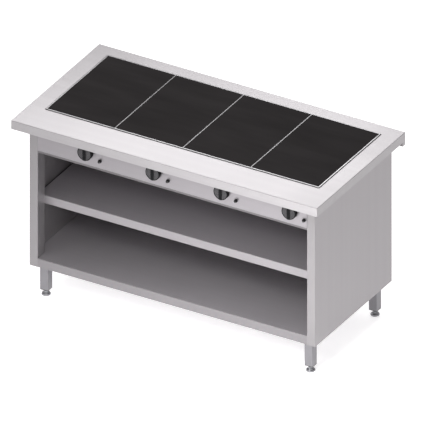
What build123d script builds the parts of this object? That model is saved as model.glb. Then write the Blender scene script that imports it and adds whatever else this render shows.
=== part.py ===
from build123d import *
import os

# Four-zone induction hob on an open shelf cabinet. All sizes are in millimetres.
# The origin is on the floor, under the middle of the worktop.
# X runs to the right, Y to the back and Z up, so the controls face -Y.

os.makedirs("parts", exist_ok=True)

# ------------------------------------------------------------------ driving dimensions

# worktop: one folded steel deck
worktop_width = 1500.0
worktop_depth = 750.0
worktop_top = 883.0
worktop_sheet = 1.5
apron_height = 42.0
rear_apron_height = 60.0
rear_apron_fold = 23.0
hem_width = 12.0
bend_radius = 2.0

# glass field: four glass plates in a raised frame
frame_width = 1338.0
frame_depth = 527.0
frame_centre_y = 43.5
frame_wall = 5.0
frame_rise = 3.0
frame_height = 18.0
frame_corner = 3.0
ledge_width = 14.0
ledge_sheet = 2.0
frame_flange = 12.0
divider_web = 4.0
divider_foot = 24.0
glass_thickness = 4.0
glass_gap = 0.4
gasket_thickness = 2.0
gasket_width = 9.0
seal_width = 3.0
seal_height = 1.2
zone_count = 4

# cabinet: folded panels, open at the front
cabinet_width = 1400.0
cabinet_front = -305.0
cabinet_back = 345.0
cabinet_bottom = 155.0
panel_sheet = 1.2
post_width = 40.0
post_depth = 60.0
panel_flange = 25.0
bottom_flange = 15.0
fit_gap = 0.3

# shelves and service tray
base_shelf_top = 197.0
mid_shelf_top = 477.5
mid_shelf_band = 40.0
mid_shelf_side_gap = 5.5
tray_bottom = 714.0
tray_setback = 2.5
tray_side_gap = 2.5
tray_lip_front = 10.0
tray_lip = 21.0
fascia_bottom = 725.0
fascia_flange = 20.0
stiffener_width = 60.0
stiffener_height = 30.0
stiffener_length = 1300.0
support_leg = 25.0
support_length = 560.0

# controls
knob_count = 4
first_knob_x = -421.0
knob_pitch = 333.5
knob_z = 788.0
knob_radius = 34.0
knob_depth = 18.0
knob_gap = 1.0
knob_bar_width = 13.0
knob_bar_rise = 4.0
knob_face_radius = 30.0
knob_face_recess = 1.2
knob_hollow_radius = 12.0
knob_hollow_depth = 6.0
knob_socket_depth = 14.0
shaft_radius = 3.0
shaft_bore = 3.05
shaft_flat = 1.8
lamp_offset_x = 67.0
lamp_z = 761.6
lamp_bezel_radius = 8.0
lamp_bezel_depth = 5.0
lamp_lens_radius = 6.0
lamp_lens_depth = 9.0
lamp_hole_radius = 5.2

# legs and feet
leg_size = 40.0
leg_wall = 1.5
leg_inset = 52.0
leg_bottom = 31.0
leg_plate_size = 90.0
leg_plate_thickness = 4.0
leg_stud_spacing = 66.0
stud_m8_radius = 4.0
stud_m8_length = 20.0
foot_pad_radius = 20.0
foot_stud_radius = 5.95
foot_bore_radius = 6.0

# screws of the back panel and the service tray
screw_x = 687.0
screw_zs = (200.0, 420.0, 640.0, 800.0)
screw_ys = (-180.0, 270.0)
screw_radius = 2.5
screw_hole_radius = 2.7
screw_head_radius = 4.5
screw_head_height = 2.5
screw_length = 9.0

# induction system
coil_plate_size = 300.0
coil_inner_radius = 38.0
coil_outer_radius = 134.0
coil_turns = 16
rail_width = 30.0
rail_height = 16.0
rail_length = 1300.0
rail_offset_y = 120.0
generator_x = 330.0
generator_y = 70.0
generator_width = 400.0
generator_depth = 280.0
generator_height = 80.0
fan_size = 92.0
fan_height = 25.0
fan_bore = 42.5
fan_offset_y = -80.0
fan_blades = 7
fan_pin_radius = 1.5
fan_pin_bore = 1.55

# ------------------------------------------------------------------ worked-out places

deck_under = worktop_top - worktop_sheet
apron_bottom = worktop_top - apron_height
rear_apron_bottom = worktop_top - rear_apron_height
half_worktop = worktop_depth / 2
frame_top = worktop_top + frame_rise
ledge_top = frame_top - glass_thickness - gasket_thickness
inner_width = frame_width - 2 * frame_wall
inner_depth = frame_depth - 2 * frame_wall
zone_width = (inner_width - (zone_count - 1) * divider_web) / zone_count
zone_pitch = zone_width + divider_web
zone_xs = [(i - (zone_count - 1) / 2) * zone_pitch for i in range(zone_count)]
divider_xs = [(i - (zone_count - 2) / 2) * zone_pitch for i in range(zone_count - 1)]

half_cabinet = cabinet_width / 2
middle_line = panel_sheet / 2
bend_line = bend_radius - middle_line
post_inner = half_cabinet - post_width
post_back = cabinet_front + post_depth
panel_back = cabinet_back - panel_sheet
between_posts = post_inner - fit_gap
between_sides = half_cabinet - panel_sheet - fit_gap
knob_xs = [first_knob_x + i * knob_pitch for i in range(knob_count)]
lamp_xs = [x + lamp_offset_x for x in knob_xs]
leg_x = half_cabinet - leg_inset
leg_front_y = cabinet_front + leg_inset
leg_back_y = cabinet_back - leg_inset
leg_places = [(x, y) for y in (leg_front_y, leg_back_y) for x in (-leg_x, leg_x)]
leg_names = ["front_left", "front_right", "rear_left", "rear_right"]
base_under = base_shelf_top - panel_sheet
leg_top = base_under - leg_plate_thickness
tray_floor = tray_bottom + panel_sheet


def facing_front(x, y, z):
    """A drawing plane that looks out of the front of the hob, with Z up."""
    return Plane(origin=(x, y, z), x_dir=(1, 0, 0), z_dir=(0, -1, 0))


def across(x, y=0, z=0):
    """A drawing plane seen from the right side: its own x is Y and its own y is Z."""
    return Plane(origin=(x, y, z), x_dir=(0, 1, 0), z_dir=(1, 0, 0))


# ------------------------------------------------------------------ worktop
# Deck and aprons folded from one sheet. The rear apron is deeper and folds back up.

with BuildPart() as worktop:
    with BuildSketch(Plane.XY.offset(apron_bottom)):
        Rectangle(worktop_width, worktop_depth)
    extrude(amount=apron_height)
    with BuildSketch(Plane.XY.offset(rear_apron_bottom)):
        with Locations((0, half_worktop - rear_apron_fold / 2)):
            Rectangle(worktop_width, rear_apron_fold)
    extrude(amount=rear_apron_height)
    deck_edges = worktop.faces().sort_by(Axis.Z)[-1].edges()
    corner_edges = worktop.edges().filter_by(Axis.Z)
    corner_edges = corner_edges.filter_by(lambda edge: abs(edge.center().Y) > half_worktop - 1)
    fillet(deck_edges + corner_edges, radius=bend_radius)
    # the hollow under the deck
    with BuildSketch(Plane.XY.offset(apron_bottom + worktop_sheet)):
        Rectangle(worktop_width - 2 * worktop_sheet, worktop_depth - 2 * worktop_sheet)
    extrude(amount=apron_height - 2 * worktop_sheet, mode=Mode.SUBTRACT)
    # the hollow of the deeper rear fold
    with BuildSketch(Plane.XY.offset(rear_apron_bottom + worktop_sheet)):
        with Locations((0, half_worktop - rear_apron_fold / 2)):
            Rectangle(worktop_width - 2 * worktop_sheet, rear_apron_fold - 2 * worktop_sheet)
    extrude(amount=rear_apron_height - 2 * worktop_sheet, mode=Mode.SUBTRACT)
    # the opening inside the hem, through which the cabinet reaches the deck
    hem_front = -half_worktop + hem_width
    hem_back = half_worktop - rear_apron_fold
    with BuildSketch(Plane.XY.offset(apron_bottom)):
        with Locations((0, (hem_front + hem_back) / 2)):
            Rectangle(worktop_width - 2 * hem_width, hem_back - hem_front)
    extrude(amount=worktop_sheet, mode=Mode.SUBTRACT)
    # the cut-out for the glass frame
    with BuildSketch(Plane.XY.offset(deck_under)):
        with Locations((0, frame_centre_y)):
            RectangleRounded(frame_width + 2 * fit_gap, frame_depth + 2 * fit_gap, frame_corner + fit_gap)
    extrude(amount=worktop_sheet, mode=Mode.SUBTRACT)
worktop.part.label = "worktop"
export_step(worktop.part, "parts/worktop.step")

# ------------------------------------------------------------------ glass field

# Frame: an upright wall, a ledge inside for the glass and a flange outside under the deck.
with BuildPart() as glass_frame:
    with BuildSketch(Plane.XY.offset(frame_top - frame_height)):
        with Locations((0, frame_centre_y)):
            RectangleRounded(frame_width, frame_depth, frame_corner)
            Rectangle(inner_width, inner_depth, mode=Mode.SUBTRACT)
    extrude(amount=frame_height)
    rim_edges = glass_frame.faces().sort_by(Axis.Z)[-1].edges()
    fillet(rim_edges, radius=0.5)
    with BuildSketch(Plane.XY.offset(ledge_top - ledge_sheet)):
        with Locations((0, frame_centre_y)):
            Rectangle(inner_width, inner_depth)
            Rectangle(inner_width - 2 * ledge_width, inner_depth - 2 * ledge_width, mode=Mode.SUBTRACT)
    extrude(amount=ledge_sheet)
    with BuildSketch(Plane.XY.offset(deck_under - worktop_sheet)):
        with Locations((0, frame_centre_y)):
            RectangleRounded(frame_width + 2 * frame_flange, frame_depth + 2 * frame_flange, frame_flange)
            Rectangle(inner_width, inner_depth, mode=Mode.SUBTRACT)
    extrude(amount=worktop_sheet)
glass_frame.part.label = "glass_frame"
export_step(glass_frame.part, "parts/glass_frame.step")

# Bead of sealant on the deck, round the foot of the frame.
with BuildPart() as frame_seal:
    with BuildSketch(Plane.XY.offset(worktop_top)):
        with Locations((0, frame_centre_y)):
            RectangleRounded(frame_width + 2 * seal_width, frame_depth + 2 * seal_width, frame_corner + seal_width)
            RectangleRounded(frame_width, frame_depth, frame_corner, mode=Mode.SUBTRACT)
    extrude(amount=seal_height)
frame_seal.part.label = "frame_seal"
export_step(frame_seal.part, "parts/frame_seal.step")

# Upside-down T bars between the plates.
with BuildPart() as divider_strips:
    with BuildSketch(Plane.XY.offset(ledge_top)):
        with Locations([(x, frame_centre_y) for x in divider_xs]):
            Rectangle(divider_web, inner_depth)
    extrude(amount=frame_top - ledge_top)
    with BuildSketch(Plane.XY.offset(ledge_top - ledge_sheet)):
        with Locations([(x, frame_centre_y) for x in divider_xs]):
            Rectangle(divider_foot, inner_depth - 2 * ledge_width)
    extrude(amount=ledge_sheet)
divider_strips.part.label = "divider_strips"
export_step(divider_strips.part, "parts/divider_strips.step")

# One ring of silicone under each plate.
with BuildPart() as glass_gaskets:
    with BuildSketch(Plane.XY.offset(ledge_top)):
        with Locations([(x, frame_centre_y) for x in zone_xs]):
            Rectangle(zone_width, inner_depth)
            Rectangle(zone_width - 2 * gasket_width, inner_depth - 2 * gasket_width, mode=Mode.SUBTRACT)
    extrude(amount=gasket_thickness)
glass_gaskets.part.label = "glass_gaskets"
export_step(glass_gaskets.part, "parts/glass_gaskets.step")

# Glass-ceramic plates.
for number, zone_x in enumerate(zone_xs, start=1):
    with BuildPart() as glass_plate:
        with BuildSketch(Plane.XY.offset(ledge_top + gasket_thickness)):
            with Locations((zone_x, frame_centre_y)):
                Rectangle(zone_width - 2 * glass_gap, inner_depth - 2 * glass_gap)
        extrude(amount=glass_thickness)
        chamfer(glass_plate.faces().sort_by(Axis.Z)[-1].edges(), length=0.4)
    glass_plate.part.label = f"glass_plate_{number}"
    export_step(glass_plate.part, f"parts/glass_plate_{number}.step")

# Square tubes that carry the divider strips, welded between the frame's long walls.
support_bar_width = 20.0
support_bar_height = 28.0
support_bar_wall = 2.0
support_bar_top = ledge_top - ledge_sheet
support_bar_bottom = support_bar_top - support_bar_height
with BuildPart() as glass_support_bars:
    with BuildSketch(facing_front(0, frame_centre_y, support_bar_top - support_bar_height / 2)):
        with Locations([(x, 0) for x in divider_xs]):
            Rectangle(support_bar_width, support_bar_height)
            Rectangle(
                support_bar_width - 2 * support_bar_wall,
                support_bar_height - 2 * support_bar_wall,
                mode=Mode.SUBTRACT,
            )
    extrude(amount=inner_depth / 2, both=True)
glass_support_bars.part.label = "glass_support_bars"
export_step(glass_support_bars.part, "parts/glass_support_bars.step")

# ------------------------------------------------------------------ side panels
# Each is one sheet: outer wall, rear flange, and a front post folded round and back in.
# Below the base shelf the post keeps only its front face, to leave room for the leg plate.

wall_line_x = half_cabinet - middle_line
face_line_y = cabinet_front + middle_line
rear_line_y = panel_back - middle_line
rear_flange_end = (half_cabinet - panel_flange, rear_line_y)
with BuildPart() as right_side_panel:
    with BuildSketch(Plane.XY.offset(base_shelf_top)):
        with BuildLine():
            FilletPolyline(
                (post_inner + middle_line, post_back),
                (post_inner + middle_line, face_line_y),
                (wall_line_x, face_line_y),
                (wall_line_x, rear_line_y),
                rear_flange_end,
                radius=bend_line,
            )
        trace(line_width=panel_sheet)
        # the last leg of the fold, which closes the post against the wall
        with Locations(((post_inner + half_cabinet - panel_sheet) / 2, post_back - middle_line)):
            Rectangle(post_width - panel_sheet, panel_sheet)
    extrude(amount=deck_under - base_shelf_top)
    with BuildSketch(Plane.XY.offset(cabinet_bottom)):
        with BuildLine():
            FilletPolyline(
                (post_inner, face_line_y),
                (wall_line_x, face_line_y),
                (wall_line_x, rear_line_y),
                rear_flange_end,
                radius=bend_line,
            )
        trace(line_width=panel_sheet)
    extrude(amount=base_shelf_top - cabinet_bottom)
    with BuildSketch(Plane.XY.offset(cabinet_bottom)):
        with Locations((half_cabinet - bottom_flange / 2 - middle_line, (cabinet_front + panel_back) / 2)):
            Rectangle(bottom_flange, panel_back - cabinet_front - 4 * panel_sheet)
    extrude(amount=panel_sheet)
    # clearance holes for the screws of the back panel
    with Locations([facing_front(screw_x, panel_back, z) for z in screw_zs]):
        Hole(radius=screw_hole_radius, depth=2 * panel_sheet)
right_side_panel.part.label = "right_side_panel"
export_step(right_side_panel.part, "parts/right_side_panel.step")

with BuildPart() as left_side_panel:
    mirror(right_side_panel.part, about=Plane.YZ)
left_side_panel.part.label = "left_side_panel"
export_step(left_side_panel.part, "parts/left_side_panel.step")

# ------------------------------------------------------------------ back panel

gland_x = 600.0
gland_z = 760.0
gland_hole = 16.2
slot_length = 60.0
slot_width = 6.0
with BuildPart() as back_panel:
    with BuildSketch(facing_front(0, cabinet_back, 0)):
        with Locations((0, (cabinet_bottom + deck_under) / 2)):
            Rectangle(cabinet_width - 2 * fit_gap, deck_under - cabinet_bottom)
        # exhaust slots behind each generator
        for x in (-generator_x, generator_x):
            with Locations((x, tray_floor + generator_height / 2)):
                with GridLocations(2 * slot_length, 2.5 * slot_width, 3, 4):
                    SlotOverall(1.5 * slot_length, slot_width, mode=Mode.SUBTRACT)
        with Locations([(x, z) for x in (-screw_x, screw_x) for z in screw_zs]):
            Circle(screw_hole_radius, mode=Mode.SUBTRACT)
        with Locations((gland_x, gland_z)):
            Circle(gland_hole, mode=Mode.SUBTRACT)
    extrude(amount=panel_sheet)
back_panel.part.label = "back_panel"
export_step(back_panel.part, "parts/back_panel.step")

# ------------------------------------------------------------------ shelves and service tray
# Each is a folded pan: a deck, and bands turned down (or up) round its edges.

base_front_line = cabinet_front + middle_line
pan_back = panel_back - panel_sheet - fit_gap
base_back_line = pan_back - middle_line
with BuildPart() as base_shelf:
    with BuildSketch(across(0)):
        with BuildLine():
            FilletPolyline(
                (cabinet_front + bottom_flange, cabinet_bottom + middle_line),
                (base_front_line, cabinet_bottom + middle_line),
                (base_front_line, base_shelf_top - middle_line),
                (base_back_line, base_shelf_top - middle_line),
                (base_back_line, cabinet_bottom + 2 * panel_sheet),
                radius=bend_line,
            )
        trace(line_width=panel_sheet)
    extrude(amount=between_posts, both=True)
    # the deck runs on under the posts, out to the side walls
    wide_front = cabinet_front + 2 * panel_sheet
    with BuildSketch(Plane.XY.offset(base_under)):
        with Locations((0, (wide_front + pan_back) / 2)):
            Rectangle(2 * between_sides, pan_back - wide_front)
    extrude(amount=panel_sheet)
    side_band_z = cabinet_bottom + 2 * panel_sheet
    with BuildSketch(Plane.XY.offset(side_band_z)):
        for side in (-1, 1):
            with Locations((side * (between_sides - middle_line), (wide_front + pan_back) / 2)):
                Rectangle(panel_sheet, pan_back - wide_front)
    extrude(amount=base_under - side_band_z)
    # studs welded under the deck, four for each leg
    with BuildSketch(Plane.XY.offset(base_under)):
        for x, y in leg_places:
            with Locations((x, y)):
                with GridLocations(leg_stud_spacing, leg_stud_spacing, 2, 2):
                    Circle(stud_m8_radius)
    extrude(amount=-stud_m8_length)
base_shelf.part.label = "base_shelf"
export_step(base_shelf.part, "parts/base_shelf.step")

mid_half_width = half_cabinet - mid_shelf_side_gap
mid_bottom = mid_shelf_top - mid_shelf_band
mid_front_line = post_back + middle_line
with BuildPart() as mid_shelf:
    with BuildSketch(across(0)):
        with BuildLine():
            FilletPolyline(
                (post_back + bottom_flange, mid_bottom + middle_line),
                (mid_front_line, mid_bottom + middle_line),
                (mid_front_line, mid_shelf_top - middle_line),
                (base_back_line, mid_shelf_top - middle_line),
                (base_back_line, mid_bottom),
                radius=bend_line,
            )
        trace(line_width=panel_sheet)
    extrude(amount=mid_half_width, both=True)
    with BuildSketch(Plane.XY.offset(mid_bottom)):
        for side in (-1, 1):
            with Locations((side * (mid_half_width - middle_line), (post_back + pan_back) / 2)):
                Rectangle(panel_sheet, pan_back - post_back - 2 * bend_radius)
    extrude(amount=mid_shelf_band - panel_sheet)
mid_shelf.part.label = "mid_shelf"
export_step(mid_shelf.part, "parts/mid_shelf.step")

# A hat channel welded under the middle of each shelf deck.
with BuildPart() as shelf_stiffeners:
    for deck_top in (base_shelf_top, mid_shelf_top):
        channel_top = deck_top - panel_sheet
        with BuildSketch(across(0, (cabinet_front + cabinet_back) / 2, channel_top)):
            with BuildLine():
                FilletPolyline(
                    (-stiffener_width / 2 - 15, -middle_line),
                    (-stiffener_width / 2, -middle_line),
                    (-stiffener_width / 2, -stiffener_height + middle_line),
                    (stiffener_width / 2, -stiffener_height + middle_line),
                    (stiffener_width / 2, -middle_line),
                    (stiffener_width / 2 + 15, -middle_line),
                    radius=bend_line,
                )
            trace(line_width=panel_sheet)
        extrude(amount=stiffener_length / 2, both=True)
shelf_stiffeners.part.label = "shelf_stiffeners"
export_step(shelf_stiffeners.part, "parts/shelf_stiffeners.step")

tray_front = cabinet_front + tray_setback
tray_half_width = half_cabinet - tray_side_gap
with BuildPart() as service_tray:
    with BuildSketch(across(0)):
        with BuildLine():
            FilletPolyline(
                (tray_front + middle_line, tray_bottom + tray_lip_front),
                (tray_front + middle_line, tray_bottom + middle_line),
                (base_back_line, tray_bottom + middle_line),
                (base_back_line, tray_bottom + tray_lip),
                radius=bend_line,
            )
        trace(line_width=panel_sheet)
    extrude(amount=between_posts, both=True)
    # behind the posts the floor widens to the side walls
    wide_front = post_back + fit_gap
    with BuildSketch(Plane.XY.offset(tray_bottom)):
        with Locations((0, (wide_front + pan_back) / 2)):
            Rectangle(2 * tray_half_width, pan_back - wide_front)
    extrude(amount=panel_sheet)
    with BuildSketch(Plane.XY.offset(tray_bottom)):
        for side in (-1, 1):
            with Locations((side * (tray_half_width - middle_line), (wide_front + pan_back) / 2)):
                Rectangle(panel_sheet, pan_back - wide_front - 2 * bend_radius)
    extrude(amount=tray_lip)
    # intake slots under each fan, and holes for the screws into the support rails
    with BuildSketch(Plane.XY.offset(tray_bottom)):
        for x in (-generator_x, generator_x):
            with Locations((x, generator_y + fan_offset_y)):
                with GridLocations(slot_length * 0.75, 2 * slot_width, 2, 6):
                    SlotOverall(slot_length * 0.6, slot_width)
        with Locations([(x, y) for x in (-screw_x, screw_x) for y in screw_ys]):
            Circle(screw_hole_radius)
    extrude(amount=panel_sheet, mode=Mode.SUBTRACT)
service_tray.part.label = "service_tray"
export_step(service_tray.part, "parts/service_tray.step")

# Angles welded to the side walls: one pair carries the middle shelf, one pair the tray.
with BuildPart() as support_rails:
    for seat_z in (mid_bottom, tray_bottom):
        for side in (-1, 1):
            wall_x = side * (half_cabinet - panel_sheet)
            with BuildSketch(Plane.XY.offset(seat_z - panel_sheet)):
                with Locations((wall_x - side * support_leg / 2, (post_back + panel_back) / 2)):
                    Rectangle(support_leg, support_length)
            extrude(amount=panel_sheet)
            with BuildSketch(Plane.XY.offset(seat_z - support_leg)):
                with Locations((wall_x - side * middle_line, (post_back + panel_back) / 2)):
                    Rectangle(panel_sheet, support_length)
            extrude(amount=support_leg - panel_sheet)
    with Locations([(x, y, tray_bottom) for x in (-screw_x, screw_x) for y in screw_ys]):
        Hole(radius=screw_hole_radius, depth=2 * panel_sheet)
support_rails.part.label = "support_rails"
export_step(support_rails.part, "parts/support_rails.step")

# ------------------------------------------------------------------ control fascia
# A shallow pan between the posts, with the holes for the controls and the pilot lamps.

with BuildPart() as control_fascia:
    with BuildSketch(facing_front(0, cabinet_front + fascia_flange, (fascia_bottom + deck_under) / 2)):
        Rectangle(2 * between_posts, deck_under - fascia_bottom)
    extrude(amount=fascia_flange)
    front_face = control_fascia.faces().sort_by(Axis.Y)[0]
    fillet(front_face.edges().sort_by(Axis.Z)[0], radius=bend_radius)
    with BuildSketch(facing_front(0, cabinet_front + fascia_flange, (fascia_bottom + deck_under) / 2)):
        Rectangle(2 * (between_posts - panel_sheet), deck_under - fascia_bottom - 2 * panel_sheet)
    extrude(amount=fascia_flange - panel_sheet, mode=Mode.SUBTRACT)
    with Locations([facing_front(x, cabinet_front, knob_z) for x in knob_xs]):
        Hole(radius=5.2, depth=2 * panel_sheet)
    with Locations([facing_front(x, cabinet_front, lamp_z) for x in lamp_xs]):
        Hole(radius=lamp_hole_radius, depth=2 * panel_sheet)
control_fascia.part.label = "control_fascia"
export_step(control_fascia.part, "parts/control_fascia.step")

# ------------------------------------------------------------------ knobs and shafts

knob_back_y = cabinet_front - knob_gap
knob_front_y = knob_back_y - knob_depth
shaft_inner_y = cabinet_front + 15
shaft_outer_y = knob_back_y - knob_socket_depth
for number, knob_x in enumerate(knob_xs, start=1):
    with BuildPart() as knob:
        with BuildSketch(facing_front(knob_x, knob_back_y, knob_z)):
            Circle(knob_radius)
        extrude(amount=knob_depth)
        fillet(knob.faces().sort_by(Axis.Y)[0].edges(), radius=1.5)
        # the face is sunk a little either side of the grip
        with BuildSketch(facing_front(knob_x, knob_front_y, knob_z)):
            Circle(knob_face_radius)
        extrude(amount=-knob_face_recess, mode=Mode.SUBTRACT)
        with BuildSketch(facing_front(knob_x, knob_front_y + knob_face_recess, knob_z)):
            Circle(knob_radius - 1.5)
            Rectangle(knob_bar_width, 2 * knob_radius, mode=Mode.INTERSECT)
        extrude(amount=knob_bar_rise + knob_face_recess)
        grip_face = knob.faces().sort_by(Axis.Y)[0]
        fillet(grip_face.edges(), radius=1.5)
        # hollow behind, round the fixing nut, and a D-shaped socket for the shaft
        with BuildSketch(facing_front(knob_x, knob_back_y, knob_z)):
            Circle(knob_hollow_radius)
        extrude(amount=knob_hollow_depth, mode=Mode.SUBTRACT)
        with BuildSketch(facing_front(knob_x, knob_back_y, knob_z)):
            Circle(shaft_radius)
            with Locations((0, shaft_flat - shaft_radius)):
                Rectangle(2 * shaft_radius, 2 * shaft_radius, mode=Mode.INTERSECT)
        extrude(amount=knob_socket_depth, mode=Mode.SUBTRACT)
    knob.part.label = f"knob_{number}"
    export_step(knob.part, f"parts/knob_{number}.step")

    # round where it turns in its bush, with a flat where the knob drives it
    with BuildPart() as control_shaft:
        with BuildSketch(facing_front(knob_x, shaft_inner_y, knob_z)):
            Circle(shaft_radius)
        extrude(amount=shaft_inner_y - shaft_outer_y)
        with BuildSketch(facing_front(knob_x, shaft_outer_y, knob_z)):
            with Locations((0, shaft_flat + shaft_radius)):
                Rectangle(2 * shaft_radius, 2 * shaft_radius)
        extrude(amount=knob_hollow_depth - knob_socket_depth, mode=Mode.SUBTRACT)
    control_shaft.part.label = f"control_shaft_{number}"
    export_step(control_shaft.part, f"parts/control_shaft_{number}.step")

# Rotary power controls behind the fascia, each with a threaded bush through it.
control_size = 46.0
control_depth = 32.0
bush_radius = 5.0
bush_length = 6.0
fascia_inner_y = cabinet_front + panel_sheet
with BuildPart() as control_bodies:
    for x in knob_xs:
        with BuildSketch(facing_front(x, fascia_inner_y + control_depth, knob_z)):
            RectangleRounded(control_size, control_size, 3)
        extrude(amount=control_depth)
        with BuildSketch(facing_front(x, fascia_inner_y, knob_z)):
            Circle(bush_radius)
        extrude(amount=panel_sheet + bush_length)
        # terminals at the back
        with BuildSketch(facing_front(x, fascia_inner_y + control_depth, knob_z)):
            with GridLocations(9, 20, 4, 2):
                Rectangle(1, 6)
        extrude(amount=-8)
        with BuildSketch(facing_front(x, shaft_inner_y + 1, knob_z)):
            Circle(shaft_bore)
        extrude(amount=shaft_inner_y + 1 - cabinet_front + bush_length, mode=Mode.SUBTRACT)
control_bodies.part.label = "control_bodies"
export_step(control_bodies.part, "parts/control_bodies.step")

with BuildPart() as control_nuts:
    with BuildSketch(facing_front(0, cabinet_front, knob_z)):
        for x in knob_xs:
            with Locations((x, 0)):
                RegularPolygon(radius=7, side_count=6, major_radius=False)
                Circle(bush_radius + 0.05, mode=Mode.SUBTRACT)
    extrude(amount=3)
control_nuts.part.label = "control_nuts"
export_step(control_nuts.part, "parts/control_nuts.step")

# Pilot lamps: a black bezel with a barrel through the fascia, and a domed lens.
lens_seat = 2.0
with BuildPart() as pilot_lamp_bodies:
    for x in lamp_xs:
        with BuildSketch(facing_front(x, cabinet_front, lamp_z)):
            Circle(lamp_bezel_radius)
        extrude(amount=lamp_bezel_depth)
        with BuildSketch(facing_front(x, cabinet_front, lamp_z)):
            Circle(lamp_hole_radius - 0.1)
        extrude(amount=-24)
    fillet(pilot_lamp_bodies.faces().group_by(Axis.Y)[0].edges(), radius=0.8)
    with BuildSketch(facing_front(0, cabinet_front - lamp_bezel_depth, lamp_z)):
        with Locations([(x, 0) for x in lamp_xs]):
            Circle(lamp_lens_radius + 0.05)
    extrude(amount=-lens_seat, mode=Mode.SUBTRACT)
pilot_lamp_bodies.part.label = "pilot_lamp_bodies"
export_step(pilot_lamp_bodies.part, "parts/pilot_lamp_bodies.step")

with BuildPart() as pilot_lamp_lenses:
    with BuildSketch(facing_front(0, cabinet_front - lamp_bezel_depth + lens_seat, lamp_z)):
        with Locations([(x, 0) for x in lamp_xs]):
            Circle(lamp_lens_radius)
    extrude(amount=lens_seat + lamp_lens_depth)
    fillet(pilot_lamp_lenses.faces().group_by(Axis.Y)[0].edges(), radius=2.5)
pilot_lamp_lenses.part.label = "pilot_lamp_lenses"
export_step(pilot_lamp_lenses.part, "parts/pilot_lamp_lenses.step")

# ------------------------------------------------------------------ legs and feet

with BuildPart() as legs:
    for x, y in leg_places:
        with BuildSketch(Plane.XY.offset(leg_bottom)):
            with Locations((x, y)):
                RectangleRounded(leg_size, leg_size, 3)
                RectangleRounded(leg_size - 2 * leg_wall, leg_size - 2 * leg_wall, 1.5, mode=Mode.SUBTRACT)
        extrude(amount=leg_top - leg_bottom)
        with BuildSketch(Plane.XY.offset(leg_top)):
            with Locations((x, y)):
                RectangleRounded(leg_plate_size, leg_plate_size, 5)
                with GridLocations(leg_stud_spacing, leg_stud_spacing, 2, 2):
                    Circle(stud_m8_radius + 0.5, mode=Mode.SUBTRACT)
        extrude(amount=leg_plate_thickness)
legs.part.label = "legs"
export_step(legs.part, "parts/legs.step")

nut_height = 6.5
with BuildPart() as leg_nuts:
    with BuildSketch(Plane.XY.offset(leg_top)):
        for x, y in leg_places:
            with Locations((x, y)):
                with GridLocations(leg_stud_spacing, leg_stud_spacing, 2, 2):
                    RegularPolygon(radius=nut_height, side_count=6, major_radius=False)
                    Circle(stud_m8_radius + 0.05, mode=Mode.SUBTRACT)
    extrude(amount=-nut_height)
leg_nuts.part.label = "leg_nuts"
export_step(leg_nuts.part, "parts/leg_nuts.step")

# Threaded plugs pressed into the tubes, with a thin flange at the bottom.
insert_flange = 2.0
insert_height = 40.0
with BuildPart() as leg_inserts:
    for x, y in leg_places:
        with BuildSketch(Plane.XY.offset(leg_bottom)):
            with Locations((x, y)):
                RectangleRounded(leg_size - 2 * leg_wall, leg_size - 2 * leg_wall, 1.5)
        extrude(amount=insert_height)
        with BuildSketch(Plane.XY.offset(leg_bottom - insert_flange)):
            with Locations((x, y)):
                RectangleRounded(leg_size, leg_size, 3)
        extrude(amount=insert_flange)
    with BuildSketch(Plane.XY.offset(leg_bottom - insert_flange)):
        with Locations(leg_places):
            Circle(foot_bore_radius)
    extrude(amount=insert_height + insert_flange, mode=Mode.SUBTRACT)
leg_inserts.part.label = "leg_inserts"
export_step(leg_inserts.part, "parts/leg_inserts.step")

# Adjustable feet: a pad that stays still on the floor, and a stud that turns in it.
pad_top = 9.0
neck_top = 13.5
socket_floor = 4.0
socket_roof = 9.5
stud_head_radius = 8.0
hex_bottom = 14.0
hex_top = 18.5
hex_across = 17.0
stud_top = 104.0
for name, (x, y) in zip(leg_names, leg_places):
    upright = facing_front(x, y, 0)
    turning_axis = Axis((x, y, 0), (0, 0, 1))
    with BuildPart() as foot_pad:
        with BuildSketch(upright):
            with BuildLine():
                Polyline(
                    (0, 0),
                    (foot_pad_radius - 1, 0),
                    (foot_pad_radius, 1),
                    (foot_pad_radius, 5),
                )
                TangentArc((foot_pad_radius, 5), (foot_pad_radius - 4, pad_top), tangent=(0, 1))
                Polyline(
                    (foot_pad_radius - 4, pad_top),
                    (12.5, pad_top),
                    (12, neck_top),
                    (foot_stud_radius + 0.1, neck_top),
                    (foot_stud_radius + 0.1, socket_roof),
                    (stud_head_radius + 0.06, socket_roof),
                    (stud_head_radius + 0.06, socket_floor),
                    (0, socket_floor),
                    (0, 0),
                )
            make_face()
        revolve(axis=turning_axis)
    foot_pad.part.label = f"foot_pad_{name}"
    export_step(foot_pad.part, f"parts/foot_pad_{name}.step")

    with BuildPart() as foot_stud:
        with BuildSketch(Plane.XY.offset(socket_floor + 0.1)):
            with Locations((x, y)):
                Circle(stud_head_radius)
        extrude(amount=socket_roof - socket_floor - 0.2)
        with BuildSketch(Plane.XY.offset(socket_floor + 0.1)):
            with Locations((x, y)):
                Circle(foot_stud_radius)
        extrude(amount=stud_top - socket_floor - 0.1)
        chamfer(foot_stud.faces().sort_by(Axis.Z)[-1].edges(), length=1.5)
        with BuildSketch(Plane.XY.offset(hex_bottom)):
            with Locations((x, y)):
                RegularPolygon(radius=hex_across / 2, side_count=6, major_radius=False)
        extrude(amount=hex_top - hex_bottom)
    foot_stud.part.label = f"foot_stud_{name}"
    export_step(foot_stud.part, f"parts/foot_stud_{name}.step")

# ------------------------------------------------------------------ induction coils
# From the bottom up: rails, rubber cushions, aluminium plate, ferrite bars, mica, coil, mica.

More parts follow.
